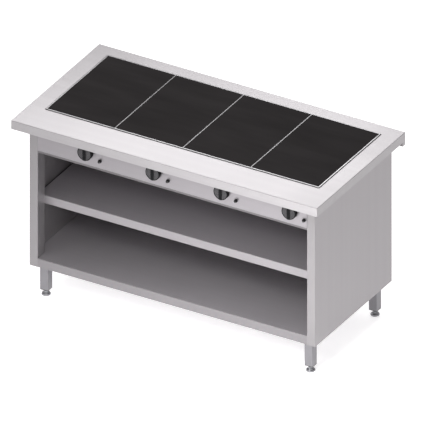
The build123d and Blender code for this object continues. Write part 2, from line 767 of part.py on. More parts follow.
rail_top = support_bar_bottom
cushion_height = 14.0
coil_plate_sheet = 2.0
ferrite_height = 5.0
mica_sheet = 1.0
coil_height = 6.0
upper_mica_sheet = 2.5
coil_plate_z = rail_top + cushion_height
ferrite_z = coil_plate_z + coil_plate_sheet
lower_mica_z = ferrite_z + ferrite_height
coil_z = lower_mica_z + mica_sheet
upper_mica_z = coil_z + coil_height + 0.3
probe_radius = 8.0
zone_places = [(x, frame_centre_y) for x in zone_xs]
cushion_spacing = 2 * rail_offset_y

with BuildPart() as coil_rails:
    for side in (-1, 1):
        with BuildSketch(across(0, frame_centre_y + side * rail_offset_y, rail_top)):
            with BuildLine():
                FilletPolyline(
                    (-rail_width / 2 + middle_line, -rail_height),
                    (-rail_width / 2 + middle_line, -middle_line),
                    (rail_width / 2 - middle_line, -middle_line),
                    (rail_width / 2 - middle_line, -rail_height),
                    radius=bend_line,
                )
            trace(line_width=panel_sheet)
        extrude(amount=rail_length / 2, both=True)
coil_rails.part.label = "coil_rails"
export_step(coil_rails.part, "parts/coil_rails.step")

with BuildPart() as coil_cushions:
    with BuildSketch(Plane.XY.offset(rail_top)):
        for place in zone_places:
            with Locations(place):
                with GridLocations(cushion_spacing, cushion_spacing, 2, 2):
                    Circle(10)
    extrude(amount=cushion_height)
    # a waist lets the rubber give when the plate is pressed down
    for x, y in zone_places:
        for corner_x in (-1, 1):
            for corner_y in (-1, 1):
                place = (x + corner_x * rail_offset_y, y + corner_y * rail_offset_y)
                with BuildSketch(Plane.XY.offset(rail_top + 4)):
                    with Locations(place):
                        Circle(11)
                        Circle(7, mode=Mode.SUBTRACT)
                extrude(amount=6, mode=Mode.SUBTRACT)
coil_cushions.part.label = "coil_cushions"
export_step(coil_cushions.part, "parts/coil_cushions.step")

with BuildPart() as coil_plates:
    with BuildSketch(Plane.XY.offset(coil_plate_z)):
        with Locations(zone_places):
            RectangleRounded(coil_plate_size, coil_plate_size, 12)
            Circle(probe_radius + 1, mode=Mode.SUBTRACT)
    extrude(amount=coil_plate_sheet)
coil_plates.part.label = "coil_plates"
export_step(coil_plates.part, "parts/coil_plates.step")

with BuildPart() as ferrite_bars:
    with BuildSketch(Plane.XY.offset(ferrite_z)):
        for place in zone_places:
            with Locations(place):
                with PolarLocations((coil_inner_radius + coil_outer_radius) / 2, 8):
                    Rectangle(80, 15)
    extrude(amount=ferrite_height)
ferrite_bars.part.label = "ferrite_bars"
export_step(ferrite_bars.part, "parts/ferrite_bars.step")

with BuildPart() as mica_sheets:
    for sheet_z, sheet_height in ((lower_mica_z, mica_sheet), (upper_mica_z, upper_mica_sheet)):
        with BuildSketch(Plane.XY.offset(sheet_z)):
            with Locations(zone_places):
                Circle(coil_outer_radius + 6)
                Circle(probe_radius + 1, mode=Mode.SUBTRACT)
        extrude(amount=sheet_height)
mica_sheets.part.label = "mica_sheets"
export_step(mica_sheets.part, "parts/mica_sheets.step")

# The coil is a flat winding: one ring with a shallow groove between turns.
turn_pitch = (coil_outer_radius - coil_inner_radius) / coil_turns
with BuildPart() as induction_coils:
    with BuildSketch(Plane.XY.offset(coil_z)):
        with Locations(zone_places):
            Circle(coil_outer_radius)
            Circle(coil_inner_radius, mode=Mode.SUBTRACT)
    extrude(amount=coil_height)
    for turn in range(1, coil_turns):
        groove_radius = coil_inner_radius + turn * turn_pitch
        with BuildSketch(Plane.XY.offset(coil_z + coil_height)):
            with Locations(zone_places):
                Circle(groove_radius + 0.4)
                Circle(groove_radius - 0.4, mode=Mode.SUBTRACT)
        extrude(amount=-1, mode=Mode.SUBTRACT)
induction_coils.part.label = "induction_coils"
export_step(induction_coils.part, "parts/induction_coils.step")

# Sprung sensors in the middle of the coils, just under the glass.
with BuildPart() as temperature_probes:
    with BuildSketch(Plane.XY.offset(coil_plate_z - 4)):
        with Locations(zone_places):
            Circle(probe_radius)
    extrude(amount=ledge_top + gasket_thickness - 0.3 - (coil_plate_z - 4))
    fillet(temperature_probes.faces().group_by(Axis.Z)[-1].edges(), radius=1)
temperature_probes.part.label = "temperature_probes"
export_step(temperature_probes.part, "parts/temperature_probes.step")

# ------------------------------------------------------------------ generators
# Two power modules stand on the tray. A fan in each draws air in through the tray.

generator_places = [(x, generator_y) for x in (-generator_x, generator_x)]
fan_places = [(x, generator_y + fan_offset_y) for x in (-generator_x, generator_x)]
case_floor = tray_floor + panel_sheet
case_top = tray_floor + generator_height
board_y = generator_y + 52
board_z = case_floor + 8
board_sheet = 1.6
sink_z = board_z + board_sheet

with BuildPart() as generator_cases:
    with BuildSketch(Plane.XY.offset(tray_floor)):
        with Locations(generator_places):
            Rectangle(generator_width, generator_depth)
    extrude(amount=generator_height)
    with BuildSketch(Plane.XY.offset(case_floor)):
        with Locations(generator_places):
            Rectangle(generator_width - 2 * panel_sheet, generator_depth - 2 * panel_sheet)
    extrude(amount=generator_height, mode=Mode.SUBTRACT)
    with BuildSketch(Plane.XY.offset(tray_floor)):
        with Locations(fan_places):
            Circle(fan_bore)
    extrude(amount=panel_sheet, mode=Mode.SUBTRACT)
    # pillars under the board, and vents in the back wall
    with BuildSketch(Plane.XY.offset(case_floor)):
        for x in (-generator_x, generator_x):
            with Locations((x, board_y)):
                with GridLocations(340, 150, 2, 2):
                    Circle(4)
    extrude(amount=board_z - case_floor)
    with BuildSketch(facing_front(0, generator_y + generator_depth / 2, tray_floor + generator_height / 2)):
        for x in (-generator_x, generator_x):
            with Locations((x, 0)):
                with GridLocations(20, 1, 16, 1):
                    SlotOverall(50, slot_width, rotation=90)
    extrude(amount=panel_sheet, mode=Mode.SUBTRACT)
generator_cases.part.label = "generator_cases"
export_step(generator_cases.part, "parts/generator_cases.step")

cover_gap = 0.2
cover_flange = 12.0
cover_width = generator_width + 2 * (cover_gap + panel_sheet)
cover_depth = generator_depth + 2 * (cover_gap + panel_sheet)
with BuildPart() as generator_covers:
    with BuildSketch(Plane.XY.offset(case_top - cover_flange)):
        with Locations(generator_places):
            Rectangle(cover_width, cover_depth)
    extrude(amount=cover_flange + panel_sheet)
    with BuildSketch(Plane.XY.offset(case_top - cover_flange)):
        with Locations(generator_places):
            Rectangle(cover_width - 2 * panel_sheet, cover_depth - 2 * panel_sheet)
    extrude(amount=cover_flange, mode=Mode.SUBTRACT)
generator_covers.part.label = "generator_covers"
export_step(generator_covers.part, "parts/generator_covers.step")

# Boards, each with its capacitors and chokes.
with BuildPart() as power_boards:
    for x in (-generator_x, generator_x):
        with BuildSketch(Plane.XY.offset(board_z)):
            with Locations((x, board_y)):
                RectangleRounded(360, 170, 4)
        extrude(amount=board_sheet)
        with BuildSketch(Plane.XY.offset(sink_z)):
            with Locations((x - 130, board_y)):
                with GridLocations(40, 40, 2, 4):
                    Circle(15)
        extrude(amount=40)
        with BuildSketch(Plane.XY.offset(sink_z)):
            with Locations((x + 135, board_y)):
                with GridLocations(1, 70, 1, 2):
                    RectangleRounded(60, 50, 6)
        extrude(amount=34)
power_boards.part.label = "power_boards"
export_step(power_boards.part, "parts/power_boards.step")

sink_width = 150.0
sink_length = 150.0
sink_base = 6.0
sink_height = 42.0
fin_count = 16
fin_sheet = 2.0
with BuildPart() as heat_sinks:
    with BuildSketch(facing_front(0, board_y + sink_length / 2, sink_z)):
        for x in (-generator_x, generator_x):
            with Locations((x, sink_base / 2)):
                Rectangle(sink_width, sink_base)
            with Locations((x, sink_height / 2)):
                with GridLocations((sink_width - fin_sheet) / (fin_count - 1), 1, fin_count, 1):
                    Rectangle(fin_sheet, sink_height)
    extrude(amount=sink_length)
heat_sinks.part.label = "heat_sinks"
export_step(heat_sinks.part, "parts/heat_sinks.step")

hub_radius = 20.0
motor_base = 3.0
bearing_radius = 4.0
bearing_top = case_floor + 18
with BuildPart() as fan_frames:
    for place in fan_places:
        with BuildSketch(Plane.XY.offset(case_floor)):
            with Locations(place):
                RectangleRounded(fan_size, fan_size, 4)
                Circle(fan_bore, mode=Mode.SUBTRACT)
                with GridLocations(82.5, 82.5, 2, 2):
                    Circle(2.2, mode=Mode.SUBTRACT)
        extrude(amount=fan_height)
        # four struts hold the motor base and its bearing
        with BuildSketch(Plane.XY.offset(case_floor)):
            with Locations(place):
                Circle(hub_radius)
                Rectangle(2 * fan_bore + 1, 4)
                Rectangle(4, 2 * fan_bore + 1)
        extrude(amount=motor_base)
        with BuildSketch(Plane.XY.offset(case_floor + motor_base)):
            with Locations(place):
                Circle(bearing_radius)
                Circle(fan_pin_bore, mode=Mode.SUBTRACT)
        extrude(amount=bearing_top - case_floor - motor_base)
fan_frames.part.label = "fan_frames"
export_step(fan_frames.part, "parts/fan_frames.step")

rotor_bottom = case_floor + motor_base + 1.5
rotor_top = case_floor + fan_height - 1
blade_span = 22.5
blade_chord = 18.0
blade_tilt = 40.0
for number, (x, y) in enumerate(fan_places, start=1):
    with BuildPart() as fan_rotor:
        with BuildSketch(Plane.XY.offset(rotor_bottom)):
            with Locations((x, y)):
                Circle(hub_radius)
                Circle(hub_radius - 2, mode=Mode.SUBTRACT)
        extrude(amount=rotor_top - rotor_bottom)
        with BuildSketch(Plane.XY.offset(rotor_top - 2)):
            with Locations((x, y)):
                Circle(hub_radius)
        extrude(amount=2)
        # the pin that runs in the bearing
        with BuildSketch(Plane.XY.offset(rotor_bottom)):
            with Locations((x, y)):
                Circle(fan_pin_radius)
        extrude(amount=rotor_top - rotor_bottom)
        with Locations((x, y, (rotor_bottom + rotor_top) / 2)):
            with PolarLocations(0, fan_blades):
                with Locations(Location((hub_radius - 1 + blade_span / 2, 0, 0), (blade_tilt, 0, 0))):
                    Box(blade_span, 1.6, blade_chord)
    fan_rotor.part.label = f"fan_rotor_{number}"
    export_step(fan_rotor.part, f"parts/fan_rotor_{number}.step")

# ------------------------------------------------------------------ supply and fixings

terminal_x = 600.0
terminal_y = 285.0
with BuildPart() as terminal_block:
    with BuildSketch(Plane.XY.offset(tray_floor)):
        with Locations((terminal_x, terminal_y)):
            RectangleRounded(90, 30, 2)
    extrude(amount=26)
    with BuildSketch(Plane.XY.offset(tray_floor + 26)):
        with Locations((terminal_x, terminal_y)):
            with GridLocations(16, 14, 5, 2):
                Circle(3.5)
    extrude(amount=-8, mode=Mode.SUBTRACT)
    with BuildSketch(facing_front(terminal_x, terminal_y + 15, tray_floor + 9)):
        with GridLocations(16, 1, 5, 1):
            Circle(3.5)
    extrude(amount=12, mode=Mode.SUBTRACT)
terminal_block.part.label = "terminal_block"
export_step(terminal_block.part, "parts/terminal_block.step")

# Gland for the supply cable: a body with a dome nut outside, and a locknut inside.
gland_thread_radius = 16.0
gland_bore = 9.0
gland_across = 36.0
with BuildPart() as cable_gland:
    with BuildSketch(facing_front(gland_x, cabinet_back + 6, gland_z)):
        RegularPolygon(radius=gland_across / 2, side_count=6, major_radius=False)
    extrude(amount=6)
    with BuildSketch(facing_front(gland_x, cabinet_back + 26, gland_z)):
        Circle(gland_thread_radius - 1)
    extrude(amount=20)
    fillet(cable_gland.faces().sort_by(Axis.Y)[-1].edges(), radius=4)
    with BuildSketch(facing_front(gland_x, cabinet_back, gland_z)):
        Circle(gland_thread_radius)
    extrude(amount=14)
    with BuildSketch(facing_front(gland_x, cabinet_back + 26, gland_z)):
        Circle(gland_bore)
    extrude(amount=40, mode=Mode.SUBTRACT)
    with BuildSketch(facing_front(gland_x, panel_back, gland_z)):
        RegularPolygon(radius=gland_across / 2, side_count=6, major_radius=False)
        Circle(gland_thread_radius + 0.05, mode=Mode.SUBTRACT)
    extrude(amount=6)
cable_gland.part.label = "cable_gland"
export_step(cable_gland.part, "parts/cable_gland.step")

# Angle brackets that hold the worktop down on the side walls.
bracket_sheet = 3.0
bracket_length = 40.0
bracket_drop = 40.0
bracket_reach = 16.0
with BuildPart() as worktop_brackets:
    for side in (-1, 1):
        wall_x = side * (half_cabinet - panel_sheet)
        for y in (-180, 50, 280):
            with BuildSketch(Plane.XY.offset(deck_under)):
                with Locations((wall_x - side * bracket_reach / 2, y)):
                    Rectangle(bracket_reach, bracket_length)
            extrude(amount=-bracket_sheet)
            with BuildSketch(Plane.XY.offset(deck_under - bracket_sheet)):
                with Locations((wall_x - side * bracket_sheet / 2, y)):
                    Rectangle(bracket_sheet, bracket_length)
            extrude(amount=bracket_sheet - bracket_drop)
worktop_brackets.part.label = "worktop_brackets"
export_step(worktop_brackets.part, "parts/worktop_brackets.step")

# Pan-head screws: eight in the back panel, four down through the tray into its rails.
with BuildPart() as panel_screws:
    with BuildSketch(facing_front(0, cabinet_back, 0)):
        with Locations([(x, z) for x in (-screw_x, screw_x) for z in screw_zs]):
            Circle(screw_head_radius)
    extrude(amount=-screw_head_height)
    fillet(panel_screws.faces().group_by(Axis.Y)[-1].edges(), radius=1.5)
    with BuildSketch(facing_front(0, cabinet_back, 0)):
        with Locations([(x, z) for x in (-screw_x, screw_x) for z in screw_zs]):
            Circle(screw_radius)
    extrude(amount=screw_length)
    with BuildSketch(Plane.XY.offset(tray_floor)):
        with Locations([(x, y) for x in (-screw_x, screw_x) for y in screw_ys]):
            Circle(screw_head_radius)
    extrude(amount=screw_head_height)
    with BuildSketch(Plane.XY.offset(tray_floor)):
        with Locations([(x, y) for x in (-screw_x, screw_x) for y in screw_ys]):
            Circle(screw_radius)
    extrude(amount=-screw_length)
panel_screws.part.label = "panel_screws"
export_step(panel_screws.part, "parts/panel_screws.step")
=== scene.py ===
# %% [markdown]
# # An induction hob on a shelf cabinet: finishing a steel kitchen counter
#
# The real object is a shop-built steel counter. Its deck, posts, shelves and panels are folded
# from ground stainless sheet, four plates of black glass-ceramic lie flush in a bright frame,
# and four knobs with pilot lamps sit on the fascia under the deck.
#
# The CAD model brings every sheet at its true size and place. This script dresses it: it gives
# each part its finish, and models again, by hand, the small parts that the eye goes to.

# %% Load the frame
import math

import bmesh
import bpy
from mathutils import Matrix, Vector


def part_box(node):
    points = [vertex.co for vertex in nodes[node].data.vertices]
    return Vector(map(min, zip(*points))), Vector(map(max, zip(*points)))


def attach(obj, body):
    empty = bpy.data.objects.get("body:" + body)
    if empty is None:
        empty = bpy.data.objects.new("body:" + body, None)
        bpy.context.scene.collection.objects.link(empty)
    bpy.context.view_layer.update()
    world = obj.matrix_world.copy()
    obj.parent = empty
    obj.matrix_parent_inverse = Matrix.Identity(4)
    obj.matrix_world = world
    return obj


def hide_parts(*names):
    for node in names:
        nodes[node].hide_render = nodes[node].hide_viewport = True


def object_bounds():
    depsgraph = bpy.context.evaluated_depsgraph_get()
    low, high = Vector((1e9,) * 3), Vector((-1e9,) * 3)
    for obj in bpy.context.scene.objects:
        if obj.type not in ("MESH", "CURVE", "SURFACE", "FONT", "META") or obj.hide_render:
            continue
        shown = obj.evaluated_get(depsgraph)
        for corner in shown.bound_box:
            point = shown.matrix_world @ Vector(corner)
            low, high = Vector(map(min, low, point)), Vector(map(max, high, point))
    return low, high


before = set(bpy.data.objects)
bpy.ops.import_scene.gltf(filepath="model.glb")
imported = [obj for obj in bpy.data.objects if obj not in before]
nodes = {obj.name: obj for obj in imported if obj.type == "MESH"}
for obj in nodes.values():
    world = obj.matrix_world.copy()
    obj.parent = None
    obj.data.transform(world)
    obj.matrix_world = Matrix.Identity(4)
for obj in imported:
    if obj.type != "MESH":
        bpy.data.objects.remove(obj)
cad_low, cad_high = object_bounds()
print("the counter measures", [round(side, 3) for side in cad_high - cad_low], "metres")

# %% [markdown]
# ## Camera and light
#
# The counter is seen from the front right and from above, in parallel projection, as in a
# maker's catalogue: upright edges stay upright and nothing shrinks with distance. An
# orthographic camera gives that. Its angle is 30 degrees round and 30 degrees up.

# %% Camera
turn_round = math.radians(30)
look_down = math.radians(30)
aim_right = 0.014
aim_up = 0.019
camera_distance = 12.0
picture_side = 1.795
towards_camera = Vector((
    math.sin(turn_round) * math.cos(look_down),
    -math.cos(turn_round) * math.cos(look_down),
    math.sin(look_down),
))
picture_right = Vector((math.cos(turn_round), math.sin(turn_round), 0))
picture_up = towards_camera.cross(picture_right)
aim = (cad_low + cad_high) / 2 + aim_right * picture_right + aim_up * picture_up

camera_data = bpy.data.cameras.new("catalogue_camera")
camera_data.type = "ORTHO"
camera_data.ortho_scale = picture_side
camera = bpy.data.objects.new("catalogue_camera", camera_data)
bpy.context.scene.collection.objects.link(camera)
camera.location = aim + camera_distance * towards_camera
camera.rotation_mode = "QUATERNION"
camera.rotation_quaternion = (-towards_camera).to_track_quat("-Z", "Y")
bpy.context.scene.camera = camera
print("camera aims at", [round(value, 3) for value in aim])

# %% [markdown]
# Ground steel has no colour of its own: it shows the room, blurred. So the light is a white
# room (the world colour) with four soft boxes. The deck mirrors what is behind the counter,
# above its left end, so back_box hangs there. The upright faces mirror the floor in front of
# them, which front_box lights. edge_box, high at the front left, brightens the rim of the deck,
# and top_box fills the deck and the shelves from above.

# %% Light
bpy.context.scene.view_settings.view_transform = "Standard"
world = bpy.data.worlds.new("white_room")
world.use_nodes = True
background = world.node_tree.nodes["Background"]
room_colour = (1.0, 0.975, 0.99, 1)
room_strength = 0.59
background.inputs["Color"].default_value = room_colour
background.inputs["Strength"].default_value = room_strength
bpy.context.scene.world = world


def soft_box(name, place, aim_at, width, height, power, spread=180):
    """A rectangular light at place that points at aim_at. Metres, watts, and degrees of spread."""
    light = bpy.data.lights.new(name, "AREA")
    light.shape = "RECTANGLE"
    light.size, light.size_y = width, height
    light.energy = power
    light.spread = math.radians(spread)
    lamp = bpy.data.objects.new(name, light)
    bpy.context.scene.collection.objects.link(lamp)
    lamp.location = place
    lamp.rotation_mode = "QUATERNION"
    lamp.rotation_quaternion = (Vector(aim_at) - Vector(place)).to_track_quat("-Z", "Y")
    print(name, "shines from", place)


soft_box("back_box", (-1.15, 1.75, 2.5), (0.4, -0.35, 0.9), width=2.3, height=0.5, power=25)
soft_box("front_box", (0.5, -1.8, 1.7), (0.35, -1.3, 0.0), width=1.0, height=0.9, power=26, spread=95)
soft_box("edge_box", (-1.3, -1.9, 3.1), (0.2, -0.3, 0.85), width=0.8, height=0.8, power=9)
soft_box("top_box", (0.1, -0.2, 3.4), (0.1, 0, 0.8), width=2.5, height=2.0, power=16)

# %% [markdown]
# ## A small language for finishes
#
# A finish is a few sums over patterns: "roughness is 0.35 plus a little grain". Written out as
# nodes, a sum takes many lines, so a wire out of a node gets the ordinary signs. Each sign adds
# one Math node, whichever side of it the wire is on. Every node is made by one method, `node`.

# %% Wires
class Wire:
    """The output of a node. The signs + - * / make Math nodes."""

    def __init__(self, finish, socket):
        self.finish = finish
        self.socket = socket

    def sum_with(self, operation, first, second):
        return self.finish.node("ShaderNodeMath", {"operation": operation}, {0: first, 1: second})

    def __add__(self, other):
        return self.sum_with("ADD", self, other)

    def __radd__(self, other):
        return self.sum_with("ADD", other, self)

    def __sub__(self, other):
        return self.sum_with("SUBTRACT", self, other)

    def __rsub__(self, other):
        return self.sum_with("SUBTRACT", other, self)

    def __mul__(self, other):
        return self.sum_with("MULTIPLY", self, other)

    def __rmul__(self, other):
        return self.sum_with("MULTIPLY", other, self)

    def __truediv__(self, other):
        return self.sum_with("DIVIDE", self, other)

    def __rtruediv__(self, other):
        return self.sum_with("DIVIDE", other, self)

    def function(self, operation, other=0.0):
        """Any other Math node, such as SQRT or LESS_THAN."""
        return self.sum_with(operation, self, other)


# %% [markdown]
# A finish starts from the Principled shader. Its fixed numbers are set on the shader's own
# sockets, and only what changes over the surface is fed in by a wire. Patterns read Object
# coordinates, which are metres on this object, so a noise scale is "blobs in a metre".

# %% Finishes
class Finish:
    """One material: its nodes, and the shader that they feed."""

    def __init__(self, name, colour, metallic=0.0, roughness=0.5, specular=0.5):
        self.material = bpy.data.materials.new(name)
        self.material.use_nodes = True
        self.tree = self.material.node_tree
        self.shader = self.tree.nodes["Principled BSDF"]
        self.shader.inputs["Base Color"].default_value = (*colour, 1)
        self.shader.inputs["Metallic"].default_value = metallic
        self.shader.inputs["Roughness"].default_value = roughness
        self.shader.inputs["Specular IOR Level"].default_value = specular
        self.place = self.node("ShaderNodeTexCoord", output="Object")

    def node(self, kind, settings=None, inputs=None, output=0):
        """Adds a node, sets it up, then fills or links its inputs. Returns one output as a Wire."""
        made = self.tree.nodes.new(kind)
        for key, value in (settings or {}).items():
            setattr(made, key, value)
        for key, value in (inputs or {}).items():
            if isinstance(value, Wire):
                self.tree.links.new(value.socket, made.inputs[key])
            else:
                made.inputs[key].default_value = value
        return Wire(self, made.outputs[output])

    def feed(self, name, wire):
        """Links a wire to an input of the shader."""
        self.tree.links.new(wire.socket, self.shader.inputs[name])

    def moved(self, scale=(1, 1, 1), shift=(0, 0, 0)):
        """Object coordinates, scaled and then shifted."""
        inputs = {"Vector": self.place, "Scale": scale, "Location": shift}
        return self.node("ShaderNodeMapping", inputs=inputs)

    def along(self, axis):
        """One of the object coordinates, 0 for X, 1 for Y and 2 for Z."""
        return self.node("ShaderNodeSeparateXYZ", inputs={"Vector": self.place}, output=axis)

    def noise(self, scale, detail=3.0, vector=None, roughness=0.5):
        """Noise from 0 to 1. Scale is how many blobs there are in a metre."""
        where = self.place if vector is None else vector
        inputs = {"Vector": where, "Scale": scale, "Detail": detail, "Roughness": roughness}
        return self.node("ShaderNodeTexNoise", inputs=inputs)

    def blend(self, amount, first, second):
        """A colour between two colours, each given as three numbers or as a wire."""
        first, second = (c if isinstance(c, Wire) else (*c, 1) for c in (first, second))
        inputs = {0: amount, 6: first, 7: second}
        return self.node("ShaderNodeMix", {"data_type": "RGBA"}, inputs, output=2)

    def bump(self, height, depth):
        """Turns a height pattern, depth metres from low to high, into a normal."""
        self.feed("Normal", self.node("ShaderNodeBump", inputs={"Height": height, "Distance": depth}))


def shade(colour, factor):
    """A colour made lighter or darker."""
    return tuple(min(channel * factor, 1.0) for channel in colour)


def dress(finish, *names):
    """Gives CAD nodes a finish."""
    for name in names:
        nodes[name].data.materials.clear()
        nodes[name].data.materials.append(finish.material)
    print(finish.material.name, "is on", ", ".join(names))


# %% [markdown]
# ## Ground stainless steel
#
# The sheets are ground with a belt, which leaves fine parallel scratches. The grain runs along
# the deck and the shelves, and up and down on the side panels and legs. Noise that is 250
# times longer along one axis than across it gives the scratches. The same stretch, fifty times
# larger, gives the faint bands that a large sheet shows, and round, soft clouds stand for
# wiping marks.
#
# Polished steel would mirror the room. Ground steel scatters part of the light in all directions, so it is
# a little less than fully metallic, and the insides of the shelves, which mirror only each other, stay a
# soft grey; their colour is also painted lighter, as painted light.

# %% Steel finishes
band_stretch = 0.02
scratch_depth = 0.00003


def ground_steel(name, grain, colour, roughness, metallic=0.8, bands=0.04):
    """Stainless sheet. Grain holds how tightly the scratches lie along X, Y and Z, per metre."""
    steel = Finish(name, colour, metallic=metallic, roughness=roughness)
    scratches = steel.noise(1.0, 4.0, steel.moved(grain), roughness=0.7)
    wide = steel.noise(1.0, 2.0, steel.moved(tuple(band_stretch * tightness for tightness in grain)))
    clouds = steel.noise(5.0, 3.0)
    tone = 0.5 + (scratches - 0.5) * 0.7 + (wide - 0.5) * 0.9 + (clouds - 0.5) * 0.7
    steel.tone = steel.blend(tone, shade(colour, 1 - bands), shade(colour, 1 + bands))
    steel.feed("Base Color", steel.tone)
    steel.feed("Roughness", roughness + (scratches - 0.5) * 0.14 + (clouds - 0.5) * 0.08)
    steel.bump(scratches, scratch_depth)
    return steel


lengthways = (6, 1500, 1500)
upwards = (1500, 1500, 6)
fore_and_aft = (1500, 6, 1500)
# These sheets are all one ground steel. Each copy's colour is set lighter or darker to stand for how much
# light falls on that sheet: painted light and shade, with the legs and the fascia darkest and the tray and
# the shelves lightest.
deck_steel = ground_steel("deck_steel", lengthways, (0.355, 0.343, 0.351), 0.38, bands=0.07)
base_steel = ground_steel("base_steel", lengthways, (0.43, 0.411, 0.43), 0.44, metallic=0.62)
shelf_steel = ground_steel("shelf_steel", lengthways, (0.395, 0.377, 0.395), 0.44, metallic=0.62)
wall_steel = ground_steel("wall_steel", upwards, (0.335, 0.321, 0.33), 0.46, metallic=0.75)
fascia_steel = ground_steel("fascia_steel", lengthways, (0.267, 0.254, 0.266), 0.42)
tube_steel = ground_steel("tube_steel", upwards, (0.215, 0.21, 0.222), 0.40)
tray_steel = ground_steel("tray_steel", lengthways, (0.46, 0.437, 0.46), 0.5, metallic=0.6)
dress(deck_steel, "worktop")
dress(base_steel, "base_shelf")
dress(shelf_steel, "mid_shelf", "shelf_stiffeners")
dress(fascia_steel, "control_fascia")
dress(tray_steel, "service_tray", "support_rails")
dress(wall_steel, "left_side_panel", "right_side_panel")
dress(tube_steel, "legs", "glass_support_bars")

# %% [markdown]
# The lips of the shelves and the tray and the faces of the posts are painted darker than the sheets behind
# them: painted shade for upright faces that catch less light, and for the tray's lip the shadow under the
# fascia. The back panel's inside is painted a little darker than its outside, as painted shade inside the
# counter, and a near-black strip at each end of the middle shelf is the painted shadow in the gap between
# the shelf and the side panels. Each is a second tone over part of a sheet, cut off by planes across X or
# Y.

# %% Lips, post faces, shelf ends and back panel: painted shade
lip_depth = 0.001
inner_shade_depth = 0.0003
gap_shade_width = 0.004


def paint_shade(steel, mask, colour):
    """Paints shade on a steel: another colour where the mask is 1."""
    steel.tone = steel.blend(mask, steel.tone, colour)
    steel.feed("Base Color", steel.tone)


def in_front_of(steel, y):
    """A mask that is 1 in front of an upright plane at y."""
    return steel.along(1).function("LESS_THAN", y)


# Painted shadow: a near-black strip at each end of the middle shelf stands for the shade in the gap
# between the shelf and the side panels.
shelf_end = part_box("mid_shelf")[1].x - gap_shade_width
shaded_shelf_ends = shelf_steel.along(0).function("ABSOLUTE").function("GREATER_THAN", shelf_end)
paint_shade(shelf_steel, shaded_shelf_ends, (0.03, 0.028, 0.03))
# Painted shade: the front lips of the shelves and the tray, and the front faces of the posts, are darker
# because less light falls on them; the tray's lip sits in the fascia's shadow.
for steel, name, front_shade_colour in (
    (base_steel, "base_shelf", (0.215, 0.205, 0.213)),
    (shelf_steel, "mid_shelf", (0.27, 0.257, 0.268)),
    (tray_steel, "service_tray", (0.14, 0.133, 0.14)),
    (wall_steel, "right_side_panel", (0.255, 0.245, 0.251)),
):
    lip_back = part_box(name)[0].y + lip_depth
    paint_shade(steel, in_front_of(steel, lip_back), front_shade_colour)
back_steel = ground_steel("back_steel", lengthways, (0.34, 0.325, 0.34), 0.46, metallic=0.7)
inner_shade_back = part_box("back_panel")[1].y - inner_shade_depth
# Painted shade: the back panel's inside, which faces into the counter, is painted a little darker than its
# outside.
paint_shade(back_steel, in_front_of(back_steel, inner_shade_back), (0.32, 0.305, 0.313))
dress(back_steel, "back_panel")

# %% [markdown]
# The frame round the glass and the strips between the plates are ground and then polished, so
# they are smoother than the deck. Brackets, rails and cases inside the counter are
# zinc-plated: a duller metal, with the mottled crystals called spangle. A Voronoi pattern has
# flat cells of random tone, which is what spangle looks like.

# %% Frame, zinc and aluminium
frame_steel = ground_steel("frame_steel", fore_and_aft, (0.32, 0.315, 0.32), 0.30)
strip_steel = ground_steel("strip_steel", fore_and_aft, (0.19, 0.186, 0.19), 0.34, bands=0.02)
dress(frame_steel, "glass_frame")
dress(strip_steel, "divider_strips")


def spangled(name, colour, roughness, cells=90):
    """Plated sheet with crystals. Cells is how many there are in a metre."""
    plate = Finish(name, colour, metallic=0.9, roughness=roughness)
    crystal = plate.node("ShaderNodeTexVoronoi", inputs={"Vector": plate.place, "Scale": cells}, output=1)
    grey = plate.node("ShaderNodeRGBToBW", inputs={"Color": crystal})
    fine = plate.noise(600, 2)
    plate.feed("Base Color", plate.blend(grey, shade(colour, 0.86), shade(colour, 1.1)))
    plate.feed("Roughness", roughness + (grey - 0.5) * 0.16 + (fine - 0.5) * 0.1)
    plate.bump(fine, 0.00002)
    return plate


zinc = spangled("zinc_plate", (0.50, 0.51, 0.53), 0.42)
dress(zinc, "generator_cases", "generator_covers", "coil_rails", "worktop_brackets")
dress(zinc, "control_nuts", "leg_nuts", *[f"control_shaft_{number}" for number in range(1, 5)])
aluminium = ground_steel("mill_aluminium", fore_and_aft, (0.66, 0.67, 0.68), 0.36, metallic=0.9)
dress(aluminium, "coil_plates", "heat_sinks")

# %% [markdown]
# ## Glass, rubber and plastics
#
# Glass-ceramic for a hob is coloured black right through and has a satin surface, which keeps
# it from glaring under kitchen lamps. Seen from above it is nearly plain black, so its mirror
# reflection is left out (its specular is 0). Faint traces of wiping vary its tone, and with the
# rolled texture they also vary its roughness and its surface.

# %% Black glass
glass_colour = (0.0275, 0.0256, 0.0259)
glass = Finish("black_glass", glass_colour, roughness=0.28, specular=0.0)
wiping = glass.noise(1.0, 3.0, glass.moved((3, 14, 14)))
rolled = glass.noise(260, 2)
glass.feed("Base Color", glass.blend(wiping, shade(glass_colour, 0.75), shade(glass_colour, 1.3)))
glass.feed("Roughness", 0.20 + wiping * 0.12 + rolled * 0.05)
glass.bump(rolled, 0.00001)
dress(glass, *[f"glass_plate_{number}" for number in range(1, 5)])

# %% [markdown]
# Silicone is matt with a fine dusty bloom. Moulded plastic has a spark-eroded texture: the tool
# is etched with tiny pits, so fine noise goes into the bump. Both are dark, so their roughness
# varies a little, which keeps them from looking flat.

# %% Silicone and moulded plastic
def moulded(name, colour, roughness, pits=900, depth=0.00003, specular=0.4):
    """Moulded plastic or rubber. Pits is how many there are in a metre."""
    part = Finish(name, colour, roughness=roughness, specular=specular)
    texture = part.noise(pits, 2)
    handled = part.noise(30, 3)
    part.feed("Base Color", part.blend(handled, shade(colour, 0.8), shade(colour, 1.25)))
    part.feed("Roughness", roughness + (texture - 0.5) * 0.2 + (handled - 0.5) * 0.15)
    part.bump(texture, depth)
    return part


